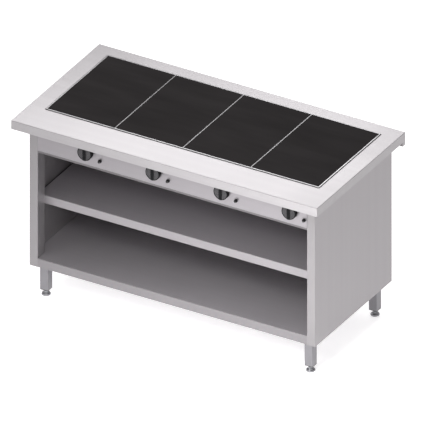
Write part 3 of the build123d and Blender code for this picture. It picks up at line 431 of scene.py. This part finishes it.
silicone = moulded("black_silicone", (0.03, 0.03, 0.031), 0.75, pits=500)
black_plastic = moulded("black_plastic", (0.014, 0.014, 0.015), 0.42, specular=0.15)
grey_seal = moulded("grey_seal", (0.10, 0.097, 0.099), 0.7, pits=500)
dress(grey_seal, "frame_seal")
dress(silicone, "glass_gaskets", "coil_cushions")
dress(black_plastic, "pilot_lamp_bodies", "control_bodies", "leg_inserts", "fan_frames", "terminal_block")
dress(black_plastic, "fan_rotor_1", "fan_rotor_2")

# %% [markdown]
# ## Inside the counter
#
# The coils are flat spirals of lacquered copper strand. Rings round each coil's own middle come
# from the distance to that middle. The coils stand at an even pitch along X, so a modulo folds
# all four onto one, and one sum of squares serves them all.

# %% Copper winding
def folded(finish, axis, first, pitch):
    """A coordinate measured from the nearest of several even places: first, first + pitch..."""
    turned_over = (finish.along(axis) - (first - pitch / 2)).function("FLOORED_MODULO", pitch)
    return turned_over - pitch / 2


coil_low, coil_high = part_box("induction_coils")
coil_depth = coil_high.y - coil_low.y
coil_pitch = (coil_high.x - coil_low.x - coil_depth) / 3
copper = Finish("copper_winding", (0.55, 0.22, 0.09), metallic=0.8, roughness=0.35)
from_middle = folded(copper, 0, coil_low.x + coil_depth / 2, coil_pitch)
across_middle = copper.along(1) - (coil_low.y + coil_high.y) / 2
ring = (from_middle * from_middle + across_middle * across_middle).function("SQRT")
strand_width = 0.003
strands = (ring * (2 * math.pi / strand_width)).function("SINE") * 0.5 + 0.5
# Painted shade: the copper is darker where the strands dip, for the shade in the gaps between the turns.
copper.feed("Base Color", copper.blend(strands, (0.25, 0.07, 0.03), (0.66, 0.27, 0.11)))
copper.feed("Roughness", 0.30 + copper.noise(700, 2) * 0.2)
copper.bump(strands, 0.0004)
dress(copper, "induction_coils")
print("four coils,", round(coil_depth, 3), "across, pitch", round(coil_pitch, 4))

# %% Ferrite, mica and circuit board
ferrite = moulded("sintered_ferrite", (0.055, 0.055, 0.06), 0.6, pits=1500)
mica = moulded("pressed_mica", (0.52, 0.45, 0.34), 0.55, pits=120, depth=0.00005)
board = moulded("green_board", (0.02, 0.11, 0.045), 0.35, pits=200)
dress(ferrite, "ferrite_bars")
dress(mica, "mica_sheets", "temperature_probes")
dress(board, "power_boards")


# %% [markdown]
# ## Helpers for modelling by hand
#
# Operators act on whatever is selected, so each piece starts with everything deselected. Faces
# or edges are then picked by where they are. When a piece is done, its place is written into its
# mesh, its name and finish are set, and it is tied to the CAD body that it rides on.

# %% Helpers
def clear_selection():
    """Deselects every object."""
    bpy.ops.object.select_all(action="DESELECT")


def edit():
    """Enters edit mode, picking vertices."""
    bpy.ops.object.mode_set(mode="EDIT")
    bpy.ops.mesh.select_mode(type="VERT")


def leave():
    """Leaves edit mode."""
    bpy.ops.object.mode_set(mode="OBJECT")


def pick(kind, wanted):
    """In edit mode, selects the faces or edges for which wanted(item) holds. Returns how many."""
    bpy.ops.mesh.select_mode(type=kind)
    bpy.ops.mesh.select_all(action="DESELECT")
    mesh = bpy.context.object.data
    work = bmesh.from_edit_mesh(mesh)
    items = [item for item in (work.faces if kind == "FACE" else work.edges) if wanted(item)]
    for item in items:
        item.select_set(True)
    bmesh.update_edit_mesh(mesh)
    return len(items)


def only(piece):
    """Selects one piece and makes it the active one."""
    clear_selection()
    piece.select_set(True)
    bpy.context.view_layer.objects.active = piece


def settle(piece):
    """Writes the piece's place into its mesh, and leaves its object at the origin."""
    only(piece)
    bpy.ops.object.transform_apply(location=True, rotation=True, scale=True)
    return piece


def copy_by(piece, shift):
    """A copy of a settled piece, with its own mesh, moved by shift."""
    only(piece)
    bpy.ops.object.duplicate(linked=False)
    twin = bpy.context.object
    twin.location = shift
    return settle(twin)


def join(pieces):
    """Makes one piece of several."""
    clear_selection()
    for piece in pieces:
        piece.select_set(True)
    bpy.context.view_layer.objects.active = pieces[0]
    bpy.ops.object.join()
    return bpy.context.object


def combine(piece, tool, operation):
    """Adds the tool to the piece, or cuts it away, and removes the tool."""
    only(piece)
    bpy.ops.object.modifier_add(type="BOOLEAN")
    cut = piece.modifiers[-1]
    cut.operation = operation
    cut.solver = "EXACT"
    cut.object = tool
    bpy.ops.object.modifier_apply(modifier=cut.name)
    bpy.data.objects.remove(tool)
    return piece


def hand_over(piece, name, body, slot, finish, *stands_for):
    """Names a finished piece, gives it its finish, ties it to its body and hides the CAD nodes that it
    stands for. The slot is not used.
    """
    settle(piece)
    piece.name = name
    piece.data.name = name
    piece.data.materials.clear()
    piece.data.materials.append(finish.material)
    bpy.ops.object.shade_smooth_by_angle(angle=math.radians(35))
    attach(piece, body)
    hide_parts(*stands_for)
    print(name, "has", len(piece.data.polygons), "faces")


# %% [markdown]
# Knobs, lenses, feet and screw heads are turned parts. On a lathe the tool follows an outline
# while the work spins; here the outline is drawn from one vertex by extruding it from point to
# point, and Spin carries it round. Where the outline meets the axis, Merge by Distance closes
# the pole. A hexagon for a spanner is a six-sided cylinder whose two rims are rounded.

# %% Lathe
def turned(outline, place, along=(0, 0, 1), steps=48):
    """A turned piece. The outline is a list of (radius, height) from place, up the axis."""
    axis = Vector(along)
    outwards = axis.orthogonal().normalized()
    points = [Vector(place) + radius * outwards + height * axis for radius, height in outline]
    clear_selection()
    bpy.ops.mesh.primitive_plane_add(size=0.001, location=points[0])
    edit()
    bpy.ops.mesh.merge(type="CENTER")
    for here, there in zip(points, points[1:]):
        bpy.ops.mesh.extrude_vertices_move(TRANSFORM_OT_translate={"value": there - here})
    bpy.ops.mesh.select_all(action="SELECT")
    bpy.ops.mesh.spin(steps=steps, angle=2 * math.pi, center=place, axis=along)
    bpy.ops.mesh.select_all(action="SELECT")
    bpy.ops.mesh.remove_doubles(threshold=0.00001)
    bpy.ops.mesh.normals_make_consistent(inside=False)
    leave()
    return settle(bpy.context.object)


def arc(middle_radius, middle_height, radius, start, end, steps):
    """Points of an arc, from one angle to another. 0 degrees points outwards, 90 points up."""
    angles = [math.radians(start + (end - start) * step / steps) for step in range(steps + 1)]
    return [
        (middle_radius + radius * math.cos(angle), middle_height + radius * math.sin(angle))
        for angle in angles
    ]


def slice_off(piece, at, outward):
    """Cuts off what lies beyond a plane and closes the cut."""
    only(piece)
    edit()
    bpy.ops.mesh.select_all(action="SELECT")
    bpy.ops.mesh.bisect(plane_co=at, plane_no=outward, clear_outer=True, use_fill=True)
    leave()


def six_sided(across, height, place, rim, rotation=(0, 0, 0)):
    """A hexagonal block with rounded rims. Across is from flat to flat, and place is its middle."""
    clear_selection()
    bpy.ops.mesh.primitive_cylinder_add(
        vertices=6, radius=across / math.sqrt(3), depth=height, location=place, rotation=rotation
    )
    edit()
    pick("EDGE", lambda edge: abs(edge.verts[0].co.z - edge.verts[1].co.z) < 0.0001)
    bpy.ops.mesh.bevel(offset=rim, segments=2, affect="EDGES")
    leave()
    return settle(bpy.context.object)


# %% [markdown]
# ## Knobs
#
# Each knob is a moulded disc with a rim, a sunk face with turned rings, and a grip bar across
# it. The disc is lathe work, rings and the bore for the shaft included. The bar is a smaller
# disc with its two sides sliced off, so that its ends keep the knob's curve. A union joins
# them, and a copy goes to each shaft.

# %% Knob disc
knob_low, knob_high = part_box("knob_1")
knob_radius = (knob_high.x - knob_low.x) / 2
knob_reach = knob_high.y - knob_low.y
bar_rise = 0.004
rim_height = knob_reach - bar_rise
rim_round = 0.0015
rim_slope = 0.0006
back_chamfer = 0.0008
face_height = rim_height - 0.0012
face_radius = 0.030
ring_count = 8
ring_pitch = 0.003
ring_depth = 0.0005
ring_flat = 0.6
ring_bottom = 0.8
shaft_bore = 0.00305
hollow_radius = 0.012
hollow_depth = 0.006
socket_depth = 0.014
knob_place = Vector(((knob_low.x + knob_high.x) / 2, knob_high.y, (knob_low.z + knob_high.z) / 2))

rings = []
for turn in range(ring_count):
    edge_radius = face_radius - turn * ring_pitch
    rings += [
        (edge_radius, face_height),
        (edge_radius - ring_flat * ring_pitch, face_height),
        (edge_radius - ring_bottom * ring_pitch, face_height - ring_depth),
    ]
knob_outline = [
    (0, socket_depth),
    (shaft_bore, socket_depth),
    (shaft_bore, hollow_depth),
    (hollow_radius, hollow_depth),
    (hollow_radius, 0),
    (knob_radius - back_chamfer, 0),
    (knob_radius, back_chamfer),
    *arc(knob_radius - rim_round, rim_height - rim_round, rim_round, 0, 90, 4),
    (face_radius + rim_slope, rim_height),
    *rings,
    (face_radius - ring_count * ring_pitch, face_height),
    (0, face_height),
]
knob = turned(knob_outline, knob_place, along=(0, -1, 0), steps=72)
print("the knob is", round(2 * knob_radius, 3), "across and stands out", round(knob_reach, 3))

# %% Grip bar
bar_half = 0.0065
bar_radius = knob_radius - 0.0012
bar_round = 0.0016
bar_bevel = 0.0012
bar_foot = face_height - 0.002
bar_outline = [
    (0, bar_foot),
    (bar_radius, bar_foot),
    *arc(bar_radius - bar_round, knob_reach - bar_round, bar_round, 0, 90, 4),
    (0, knob_reach),
]
bar = turned(bar_outline, knob_place, along=(0, -1, 0), steps=72)
for side in (-1, 1):
    slice_off(bar, knob_place + Vector((side * bar_half, 0, 0)), (side, 0, 0))
top_y = knob_place.y - knob_reach


def is_long_edge(edge):
    """Holds for the edges along the two sides of the bar's front."""
    return all(
        abs(abs(vertex.co.x - knob_place.x) - bar_half) < 0.0001 and vertex.co.y < top_y + 0.0002
        for vertex in edge.verts
    )


edit()
long_edges = pick("EDGE", is_long_edge)
bpy.ops.mesh.bevel(offset=bar_bevel, segments=3, affect="EDGES")
leave()
print("the grip bar had", long_edges, "long edges to round")
knob = combine(knob, bar, "UNION")

# %% [markdown]
# The knob's finish is black plastic, with the sunk face in dark grey between the rings and a pale index
# line at the top of the bar. The grooves of the rings are painted near black: painted shade in the
# grooves. The knobs stand at an even pitch, so the coordinate is folded as it was for the coils, and every
# knob gets the same pattern.

# %% Knob finish
knob_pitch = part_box("knob_2")[0].x - knob_low.x
bar_margin = 0.0003
height_margin = 0.0008
line_half = 0.0007
line_start = 0.023
knob_finish = moulded("knob_plastic", (0.012, 0.012, 0.013), 0.45, specular=0.03)
from_centre = folded(knob_finish, 0, knob_place.x, knob_pitch)
above_centre = knob_finish.along(2) - knob_place.z
radius_here = (from_centre * from_centre + above_centre * above_centre).function("SQRT")
off_the_bar = from_centre.function("ABSOLUTE").function("GREATER_THAN", bar_half + bar_margin)
inside_rim = radius_here.function("LESS_THAN", face_radius)
sunk = knob_finish.along(1).function("LESS_THAN", knob_place.y - face_height + height_margin)
face_mask = off_the_bar * inside_rim * sunk
ring_phase = ((face_radius - radius_here) / ring_pitch).function("FRACT")
# Painted shade: the grooves between the turned rings are painted near black.
groove_shade = ring_phase.function("GREATER_THAN", ring_flat)
face_tone = knob_finish.blend(groove_shade, (0.115, 0.112, 0.117), (0.03, 0.03, 0.031))
on_line = from_centre.function("ABSOLUTE").function("LESS_THAN", line_half)
line_end = above_centre.function("GREATER_THAN", line_start)
proud = knob_finish.along(1).function("LESS_THAN", knob_place.y - knob_reach + height_margin)
line_mask = on_line * line_end * proud
body_tone = knob_finish.blend(knob_finish.noise(40, 3), (0.008, 0.008, 0.009), (0.018, 0.018, 0.019))
two_tone = knob_finish.blend(face_mask, body_tone, face_tone)
knob_finish.feed("Base Color", knob_finish.blend(line_mask, two_tone, (0.75, 0.75, 0.73)))

# %% Four knobs
knob_shifts = [Vector((number * knob_pitch, 0, 0)) for number in range(4)]
knobs = [knob] + [copy_by(knob, shift) for shift in knob_shifts[1:]]
for number, piece in enumerate(knobs, start=1):
    body = f"knob_{number}"
    hand_over(piece, f"grip_knob_{number}", body, "black_plastic", knob_finish, body)

# %% [markdown]
# ## Pilot lamp lenses
#
# A pilot lamp's lens is a small smoked cap with a low dome in front. Shallow steps are turned
# into its flank, as on a lens that spreads its light to the side.

# %% Lenses
lens_low, lens_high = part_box("pilot_lamp_lenses")
lens_radius = (lens_high.z - lens_low.z) / 2
lens_reach = lens_high.y - lens_low.y
lens_pitch = (lens_high.x - lens_low.x - 2 * lens_radius) / 3
lens_place = (lens_low.x + lens_radius, lens_high.y, (lens_low.z + lens_high.z) / 2)
dome_rise = 0.0018
dome_inset = 0.0006
step_count = 3
step_slope = 0.0007
step_depth = 0.0004
flank = []
flank_top = lens_reach - dome_rise - dome_inset
for step in range(step_count):
    height = flank_top * (step + 1) / step_count
    flank += [(lens_radius, height - step_slope), (lens_radius - step_depth, height)]
dome_radius = (lens_radius ** 2 + dome_rise ** 2) / (2 * dome_rise)
dome_start = math.degrees(math.acos((lens_radius - dome_inset) / dome_radius))
lens_outline = [(0, 0), (lens_radius, 0), *flank]
lens_outline += arc(0, lens_reach - dome_radius, dome_radius, dome_start, 90, 6)
lens = turned(lens_outline, lens_place, along=(0, -1, 0), steps=32)
lenses = join([lens] + [copy_by(lens, Vector((number * lens_pitch, 0, 0))) for number in (1, 2, 3)])

lens_finish = Finish("smoked_lens", (0.02, 0.019, 0.02), roughness=0.18, specular=0.4)
lens_finish.shader.inputs["Transmission Weight"].default_value = 0.25
haze = lens_finish.noise(500, 2)
lens_finish.feed("Base Color", lens_finish.blend(haze, (0.012, 0.011, 0.012), (0.035, 0.033, 0.035)))
lens_finish.feed("Roughness", 0.12 + haze * 0.14)
hand_over(lenses, "lamp_lenses", "cabinet", "lamp_lens", lens_finish, "pilot_lamp_lenses")

# %% [markdown]
# ## Levelling feet
#
# Each leg ends in a foot: a turned steel pad that turns freely on the head of a threaded stud.
# The pad is lathe work, with a slightly hollow sole, a shoulder and a socket for the stud's head.

# %% Foot pad
corners = ("front_left", "front_right", "rear_left", "rear_right")
pad_low, pad_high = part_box("foot_pad_front_left")
pad_radius = (pad_high.x - pad_low.x) / 2
neck_top = pad_high.z - pad_low.z
foot_place = Vector(((pad_low.x + pad_high.x) / 2, (pad_low.y + pad_high.y) / 2, pad_low.z))
sole_hollow = 0.0005
sole_chamfer = 0.001
pad_flank_top = 0.005
shoulder_round = 0.004
shoulder_top = pad_flank_top + shoulder_round
neck_radius = 0.012
neck_chamfer = 0.0006
mouth_radius = 0.00605
socket_radius = 0.0081
socket_floor = 0.0040
socket_top = 0.0095
pad_outline = [
    (0, sole_hollow),
    (pad_radius - 0.004, sole_hollow),
    (pad_radius - 0.0045, 0),
    (pad_radius - sole_chamfer, 0),
    (pad_radius, sole_chamfer),
    (pad_radius, pad_flank_top),
    *arc(pad_radius - shoulder_round, pad_flank_top, shoulder_round, 15, 90, 5),
    (neck_radius + 0.0015, shoulder_top),
    (neck_radius + 0.0003, shoulder_top + 0.0007),
    (neck_radius, shoulder_top + 0.0018),
    (neck_radius, neck_top - neck_chamfer),
    (neck_radius - neck_chamfer, neck_top),
    (mouth_radius, neck_top),
    (mouth_radius, socket_top),
    (socket_radius, socket_top),
    (socket_radius, socket_floor),
    (0, socket_floor),
]
pad = turned(pad_outline, foot_place, steps=56)

# %% [markdown]
# The stud is an M12 screw with a hexagon for the spanner. Its thread is a zigzag one pitch tall
# that the Screw modifier winds up the axis. Both ends are cut flat and closed, and the turned
# head and the hexagon are joined on by unions.

# %% Threaded stud
stud_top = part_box("foot_stud_front_left")[1].z
thread_pitch = 0.00175
crest_radius = 0.00595
root_radius = 0.0050
crest_start, crest_end = 0.42, 0.58
thread_start = 0.0150
thread_length = stud_top - pad_low.z - thread_start
spare_turns = 2
turns = math.ceil(thread_length / thread_pitch) + spare_turns
zigzag = [
    (root_radius, 0),
    (crest_radius, crest_start * thread_pitch),
    (crest_radius, crest_end * thread_pitch),
    (root_radius, thread_pitch),
]
clear_selection()
first_point = foot_place + Vector((root_radius, 0, thread_start - thread_pitch))
bpy.ops.mesh.primitive_plane_add(size=0.001, location=first_point)
edit()
bpy.ops.mesh.merge(type="CENTER")
for (radius, height), (next_radius, next_height) in zip(zigzag, zigzag[1:]):
    step = Vector((next_radius - radius, 0, next_height - height))
    bpy.ops.mesh.extrude_vertices_move(TRANSFORM_OT_translate={"value": step})
leave()
stud = settle(bpy.context.object)
bpy.context.scene.cursor.location = (foot_place.x, foot_place.y, 0)
bpy.ops.object.origin_set(type="ORIGIN_CURSOR")
bpy.ops.object.modifier_add(type="SCREW")
winding = stud.modifiers[-1]
winding.axis = "Z"
winding.screw_offset = thread_pitch
winding.iterations = turns
winding.steps = 20
winding.render_steps = 20
winding.use_merge_vertices = True
winding.merge_threshold = 0.00001
bpy.ops.object.modifier_apply(modifier=winding.name)
settle(stud)
edit()
bpy.ops.mesh.select_all(action="SELECT")
bpy.ops.mesh.remove_doubles(threshold=0.00001)
bpy.ops.mesh.normals_make_consistent(inside=False)
leave()
slice_off(stud, foot_place + Vector((0, 0, thread_start)), (0, 0, -1))
slice_off(stud, Vector((foot_place.x, foot_place.y, stud_top)), (0, 0, 1))
print("the stud has", turns - spare_turns, "turns of thread and", len(stud.data.polygons), "faces")

# %% Stud head and hexagon
head_radius = 0.0080
head_chamfer = 0.0006
head_foot = 0.0041
head_top = 0.0094
collar_radius = 0.0056
collar_top = 0.0145
hex_across = 0.017
hex_height = 0.0045
hex_middle = 0.01625
hex_rim = 0.0005
head_outline = [
    (0, head_foot),
    (head_radius - head_chamfer, head_foot),
    (head_radius, head_foot + head_chamfer),
    (head_radius, head_top - head_chamfer),
    (head_radius - head_chamfer, head_top),
    (collar_radius, head_top),
    (collar_radius, collar_top),
    (0, collar_top),
]
head = turned(head_outline, foot_place, steps=40)
hexagon = six_sided(hex_across, hex_height, foot_place + Vector((0, 0, hex_middle)), hex_rim)
stud = combine(combine(stud, hexagon, "UNION"), head, "UNION")

# %% [markdown]
# The pads are turned steel with a thin satin plating, and their tone is a little uneven. Lathe
# marks run round them: noise squeezed along Z gives fine rings round an upright axis. The studs
# are zinc-plated.

# %% Four feet
foot_steel = Finish("foot_steel", (0.50, 0.50, 0.51), metallic=0.85, roughness=0.34)
lathe_marks = foot_steel.noise(1.0, 3.0, foot_steel.moved((30, 30, 2500)))
dull = foot_steel.noise(120, 3)
foot_steel.feed("Base Color", foot_steel.blend(dull, (0.25, 0.25, 0.265), (0.35, 0.35, 0.365)))
foot_steel.feed("Roughness", 0.26 + lathe_marks * 0.16)
foot_steel.bump(lathe_marks, 0.00004)
for corner in corners:
    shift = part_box(f"foot_pad_{corner}")[0] - pad_low
    own_pad = pad if corner == "front_left" else copy_by(pad, shift)
    own_stud = stud if corner == "front_left" else copy_by(stud, shift)
    hand_over(own_pad, f"pad_{corner}", f"foot_{corner}", "foot_steel", foot_steel, f"foot_pad_{corner}")
    hand_over(own_stud, f"stud_{corner}", f"stud_{corner}", "zinc_steel", zinc, f"foot_stud_{corner}")

# %% [markdown]
# ## Screws
#
# The back panel and the tray are held by pan-head screws with a cross recess. The head and
# shank are turned, and the recess is cut with two crossed wedges. One screw is modelled for
# each direction and copied to its places, and all of them make one piece, as in the CAD.

# %% One screw
screw_low, screw_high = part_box("panel_screws")
pan_radius = 0.0045
pan_height = 0.0025
pan_round = 0.0015
pan_chamfer = 0.0003
shank_radius = 0.0025
shank_length = 0.009
tip_radius = 0.0012
tip_length = 0.002
blade_thickness = 0.0009
blade_length = 0.0048
blade_depth = 0.0030
screw_outline = [
    (0, -shank_length),
    (tip_radius, -shank_length),
    (shank_radius, -shank_length + tip_length),
    (shank_radius, 0),
    (pan_radius - pan_chamfer, 0),
    (pan_radius, pan_chamfer),
    (pan_radius, pan_height - pan_round),
    *arc(pan_radius - pan_round, pan_height - pan_round, pan_round, 0, 90, 4),
    (0, pan_height),
]


def cross_head_screw(place, along):
    """One pan-head screw whose head sits at place and points along, square to the X axis."""
    screw = turned(screw_outline, place, along, steps=24)
    axis = Vector(along)
    sideways = Vector((1, 0, 0))
    wider = blade_length - blade_thickness
    deeper = blade_depth - blade_thickness
    for direction in (sideways, axis.cross(sideways)):
        clear_selection()
        bpy.ops.mesh.primitive_cube_add(size=1, location=Vector(place) + pan_height * axis)
        blade = bpy.context.object
        blade.scale = [blade_thickness + wider * abs(d) + deeper * abs(a) for d, a in zip(direction, axis)]
        edit()
        pick("FACE", lambda face: face.normal.dot(axis) < -0.9)
        bpy.ops.transform.resize(value=(0.5, 0.5, 0.5))
        leave()
        settle(blade)
        screw = combine(screw, blade, "DIFFERENCE")
    return screw


# %% All the screws
screw_x = (screw_high.x - screw_low.x) / 2 - pan_radius
back_seat = screw_high.y - pan_height
back_heights = (0.200, 0.420, 0.640, 0.800)
tray_sheet = 0.0012
tray_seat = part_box("service_tray")[0].z + tray_sheet
tray_places = (-0.180, 0.270)
back_screw = cross_head_screw((-screw_x, back_seat, back_heights[0]), (0, 1, 0))
tray_screw = cross_head_screw((-screw_x, tray_places[0], tray_seat), (0, 0, 1))
screws = [back_screw, tray_screw]
for side in (0, 1):
    for height in back_heights:
        shift = Vector((side * 2 * screw_x, 0, height - back_heights[0]))
        if shift.length:
            screws.append(copy_by(back_screw, shift))
    for y in tray_places:
        shift = Vector((side * 2 * screw_x, y - tray_places[0], 0))
        if shift.length:
            screws.append(copy_by(tray_screw, shift))
screw_set = join(screws)
hand_over(screw_set, "pan_head_screws", "cabinet", "zinc_steel", zinc, "panel_screws")
print(len(screws), "screws")

# %% [markdown]
# ## Cable gland
#
# The supply cable enters through a plastic gland: a hexagon against the panel and a domed nut
# whose ribs are for the fingers. The nut is turned round a bore. The ribs are made by pushing
# in every other column of faces a little.

# %% Gland
gland_low, gland_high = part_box("cable_gland")
gland_bore = 0.009
gland_across = gland_high.z - gland_low.z
panel_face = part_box("back_panel")[1].y
gland_x = (gland_low.x + gland_high.x) / 2
gland_z = (gland_low.z + gland_high.z) / 2
gland_place = (gland_x, panel_face, gland_z)
gland_tail = gland_low.y - panel_face
tail_radius = 0.0158
tail_end = 0.001
hexagon_top = 0.006
hexagon_rim = 0.0008
nut_radius = 0.015
nut_foot = hexagon_top + 0.002
nut_flank_top = 0.018
nut_round = 0.005
nut_top = gland_high.y - panel_face
mouth_chamfer = 0.0008
gland_outline = [
    (gland_bore, gland_tail),
    (tail_radius, gland_tail),
    (tail_radius, tail_end),
    (nut_radius, tail_end),
    (nut_radius, nut_foot),
    (nut_radius, nut_flank_top),
    *arc(nut_radius - nut_round, nut_top - nut_round, nut_round, 0, 90, 5),
    (gland_bore + mouth_chamfer, nut_top),
    (gland_bore, nut_top - mouth_chamfer),
    (gland_bore, gland_tail),
]
gland_steps = 48
gland = turned(gland_outline, gland_place, along=(0, 1, 0), steps=gland_steps)

# %% Ribs and hexagon
rib_start = 0.007
rib_end = 0.019
rib_border = 0.0002
rib_depth = 0.0006
column_angle = 360 / gland_steps


def is_rib_gap(face):
    """Holds for every other column of faces on the nut's flank."""
    centre = face.calc_center_median()
    if not rib_start < centre.y - panel_face < rib_end:
        return False
    if math.hypot(centre.x - gland_x, centre.z - gland_z) < nut_radius * 0.9:
        return False
    angle = math.degrees(math.atan2(centre.z - gland_z, centre.x - gland_x)) % 360
    return angle // column_angle % 2 == 0


only(gland)
edit()
gaps = pick("FACE", is_rib_gap)
bpy.ops.mesh.inset(thickness=rib_border, depth=-rib_depth, use_individual=True)
leave()
laid_back = (math.pi / 2, 0, 0)
hexagon_place = (gland_x, panel_face + hexagon_top / 2, gland_z)
gland_hexagon = six_sided(gland_across, hexagon_top, hexagon_place, hexagon_rim, laid_back)
print("the gland has", gaps, "gaps between its ribs")

# %% Gland bore
drill_length = 0.08
clear_selection()
bpy.ops.mesh.primitive_cylinder_add(
    vertices=gland_steps, radius=gland_bore, depth=drill_length, location=gland_place, rotation=laid_back
)
drill = bpy.context.object
gland = combine(gland, combine(gland_hexagon, drill, "DIFFERENCE"), "UNION")
grey_plastic = moulded("gland_plastic", (0.05, 0.05, 0.052), 0.45)
hand_over(gland, "supply_gland", "cabinet", "black_plastic", grey_plastic, "cable_gland")

# %% [markdown]
# ## Floor
#
# The floor is a plain white light table: it glows a little, so that the counter's shadow stays
# faint and the steel is filled with light from below. It isn't part of the object.

# %% Floor
floor_side = 80
floor_glow = 0.54
clear_selection()
bpy.ops.mesh.primitive_plane_add(size=floor_side, location=(0, 0, cad_low.z))
floor = bpy.context.object
floor.name = "floor"
paper = Finish("white_paper", (0.93, 0.93, 0.93), roughness=0.9, specular=0.2)
paper.feed("Roughness", 0.85 + paper.noise(3.0) * 0.1)
paper.shader.inputs["Emission Color"].default_value = (1, 1, 1, 1)
paper.shader.inputs["Emission Strength"].default_value = floor_glow
floor.data.materials.append(paper.material)
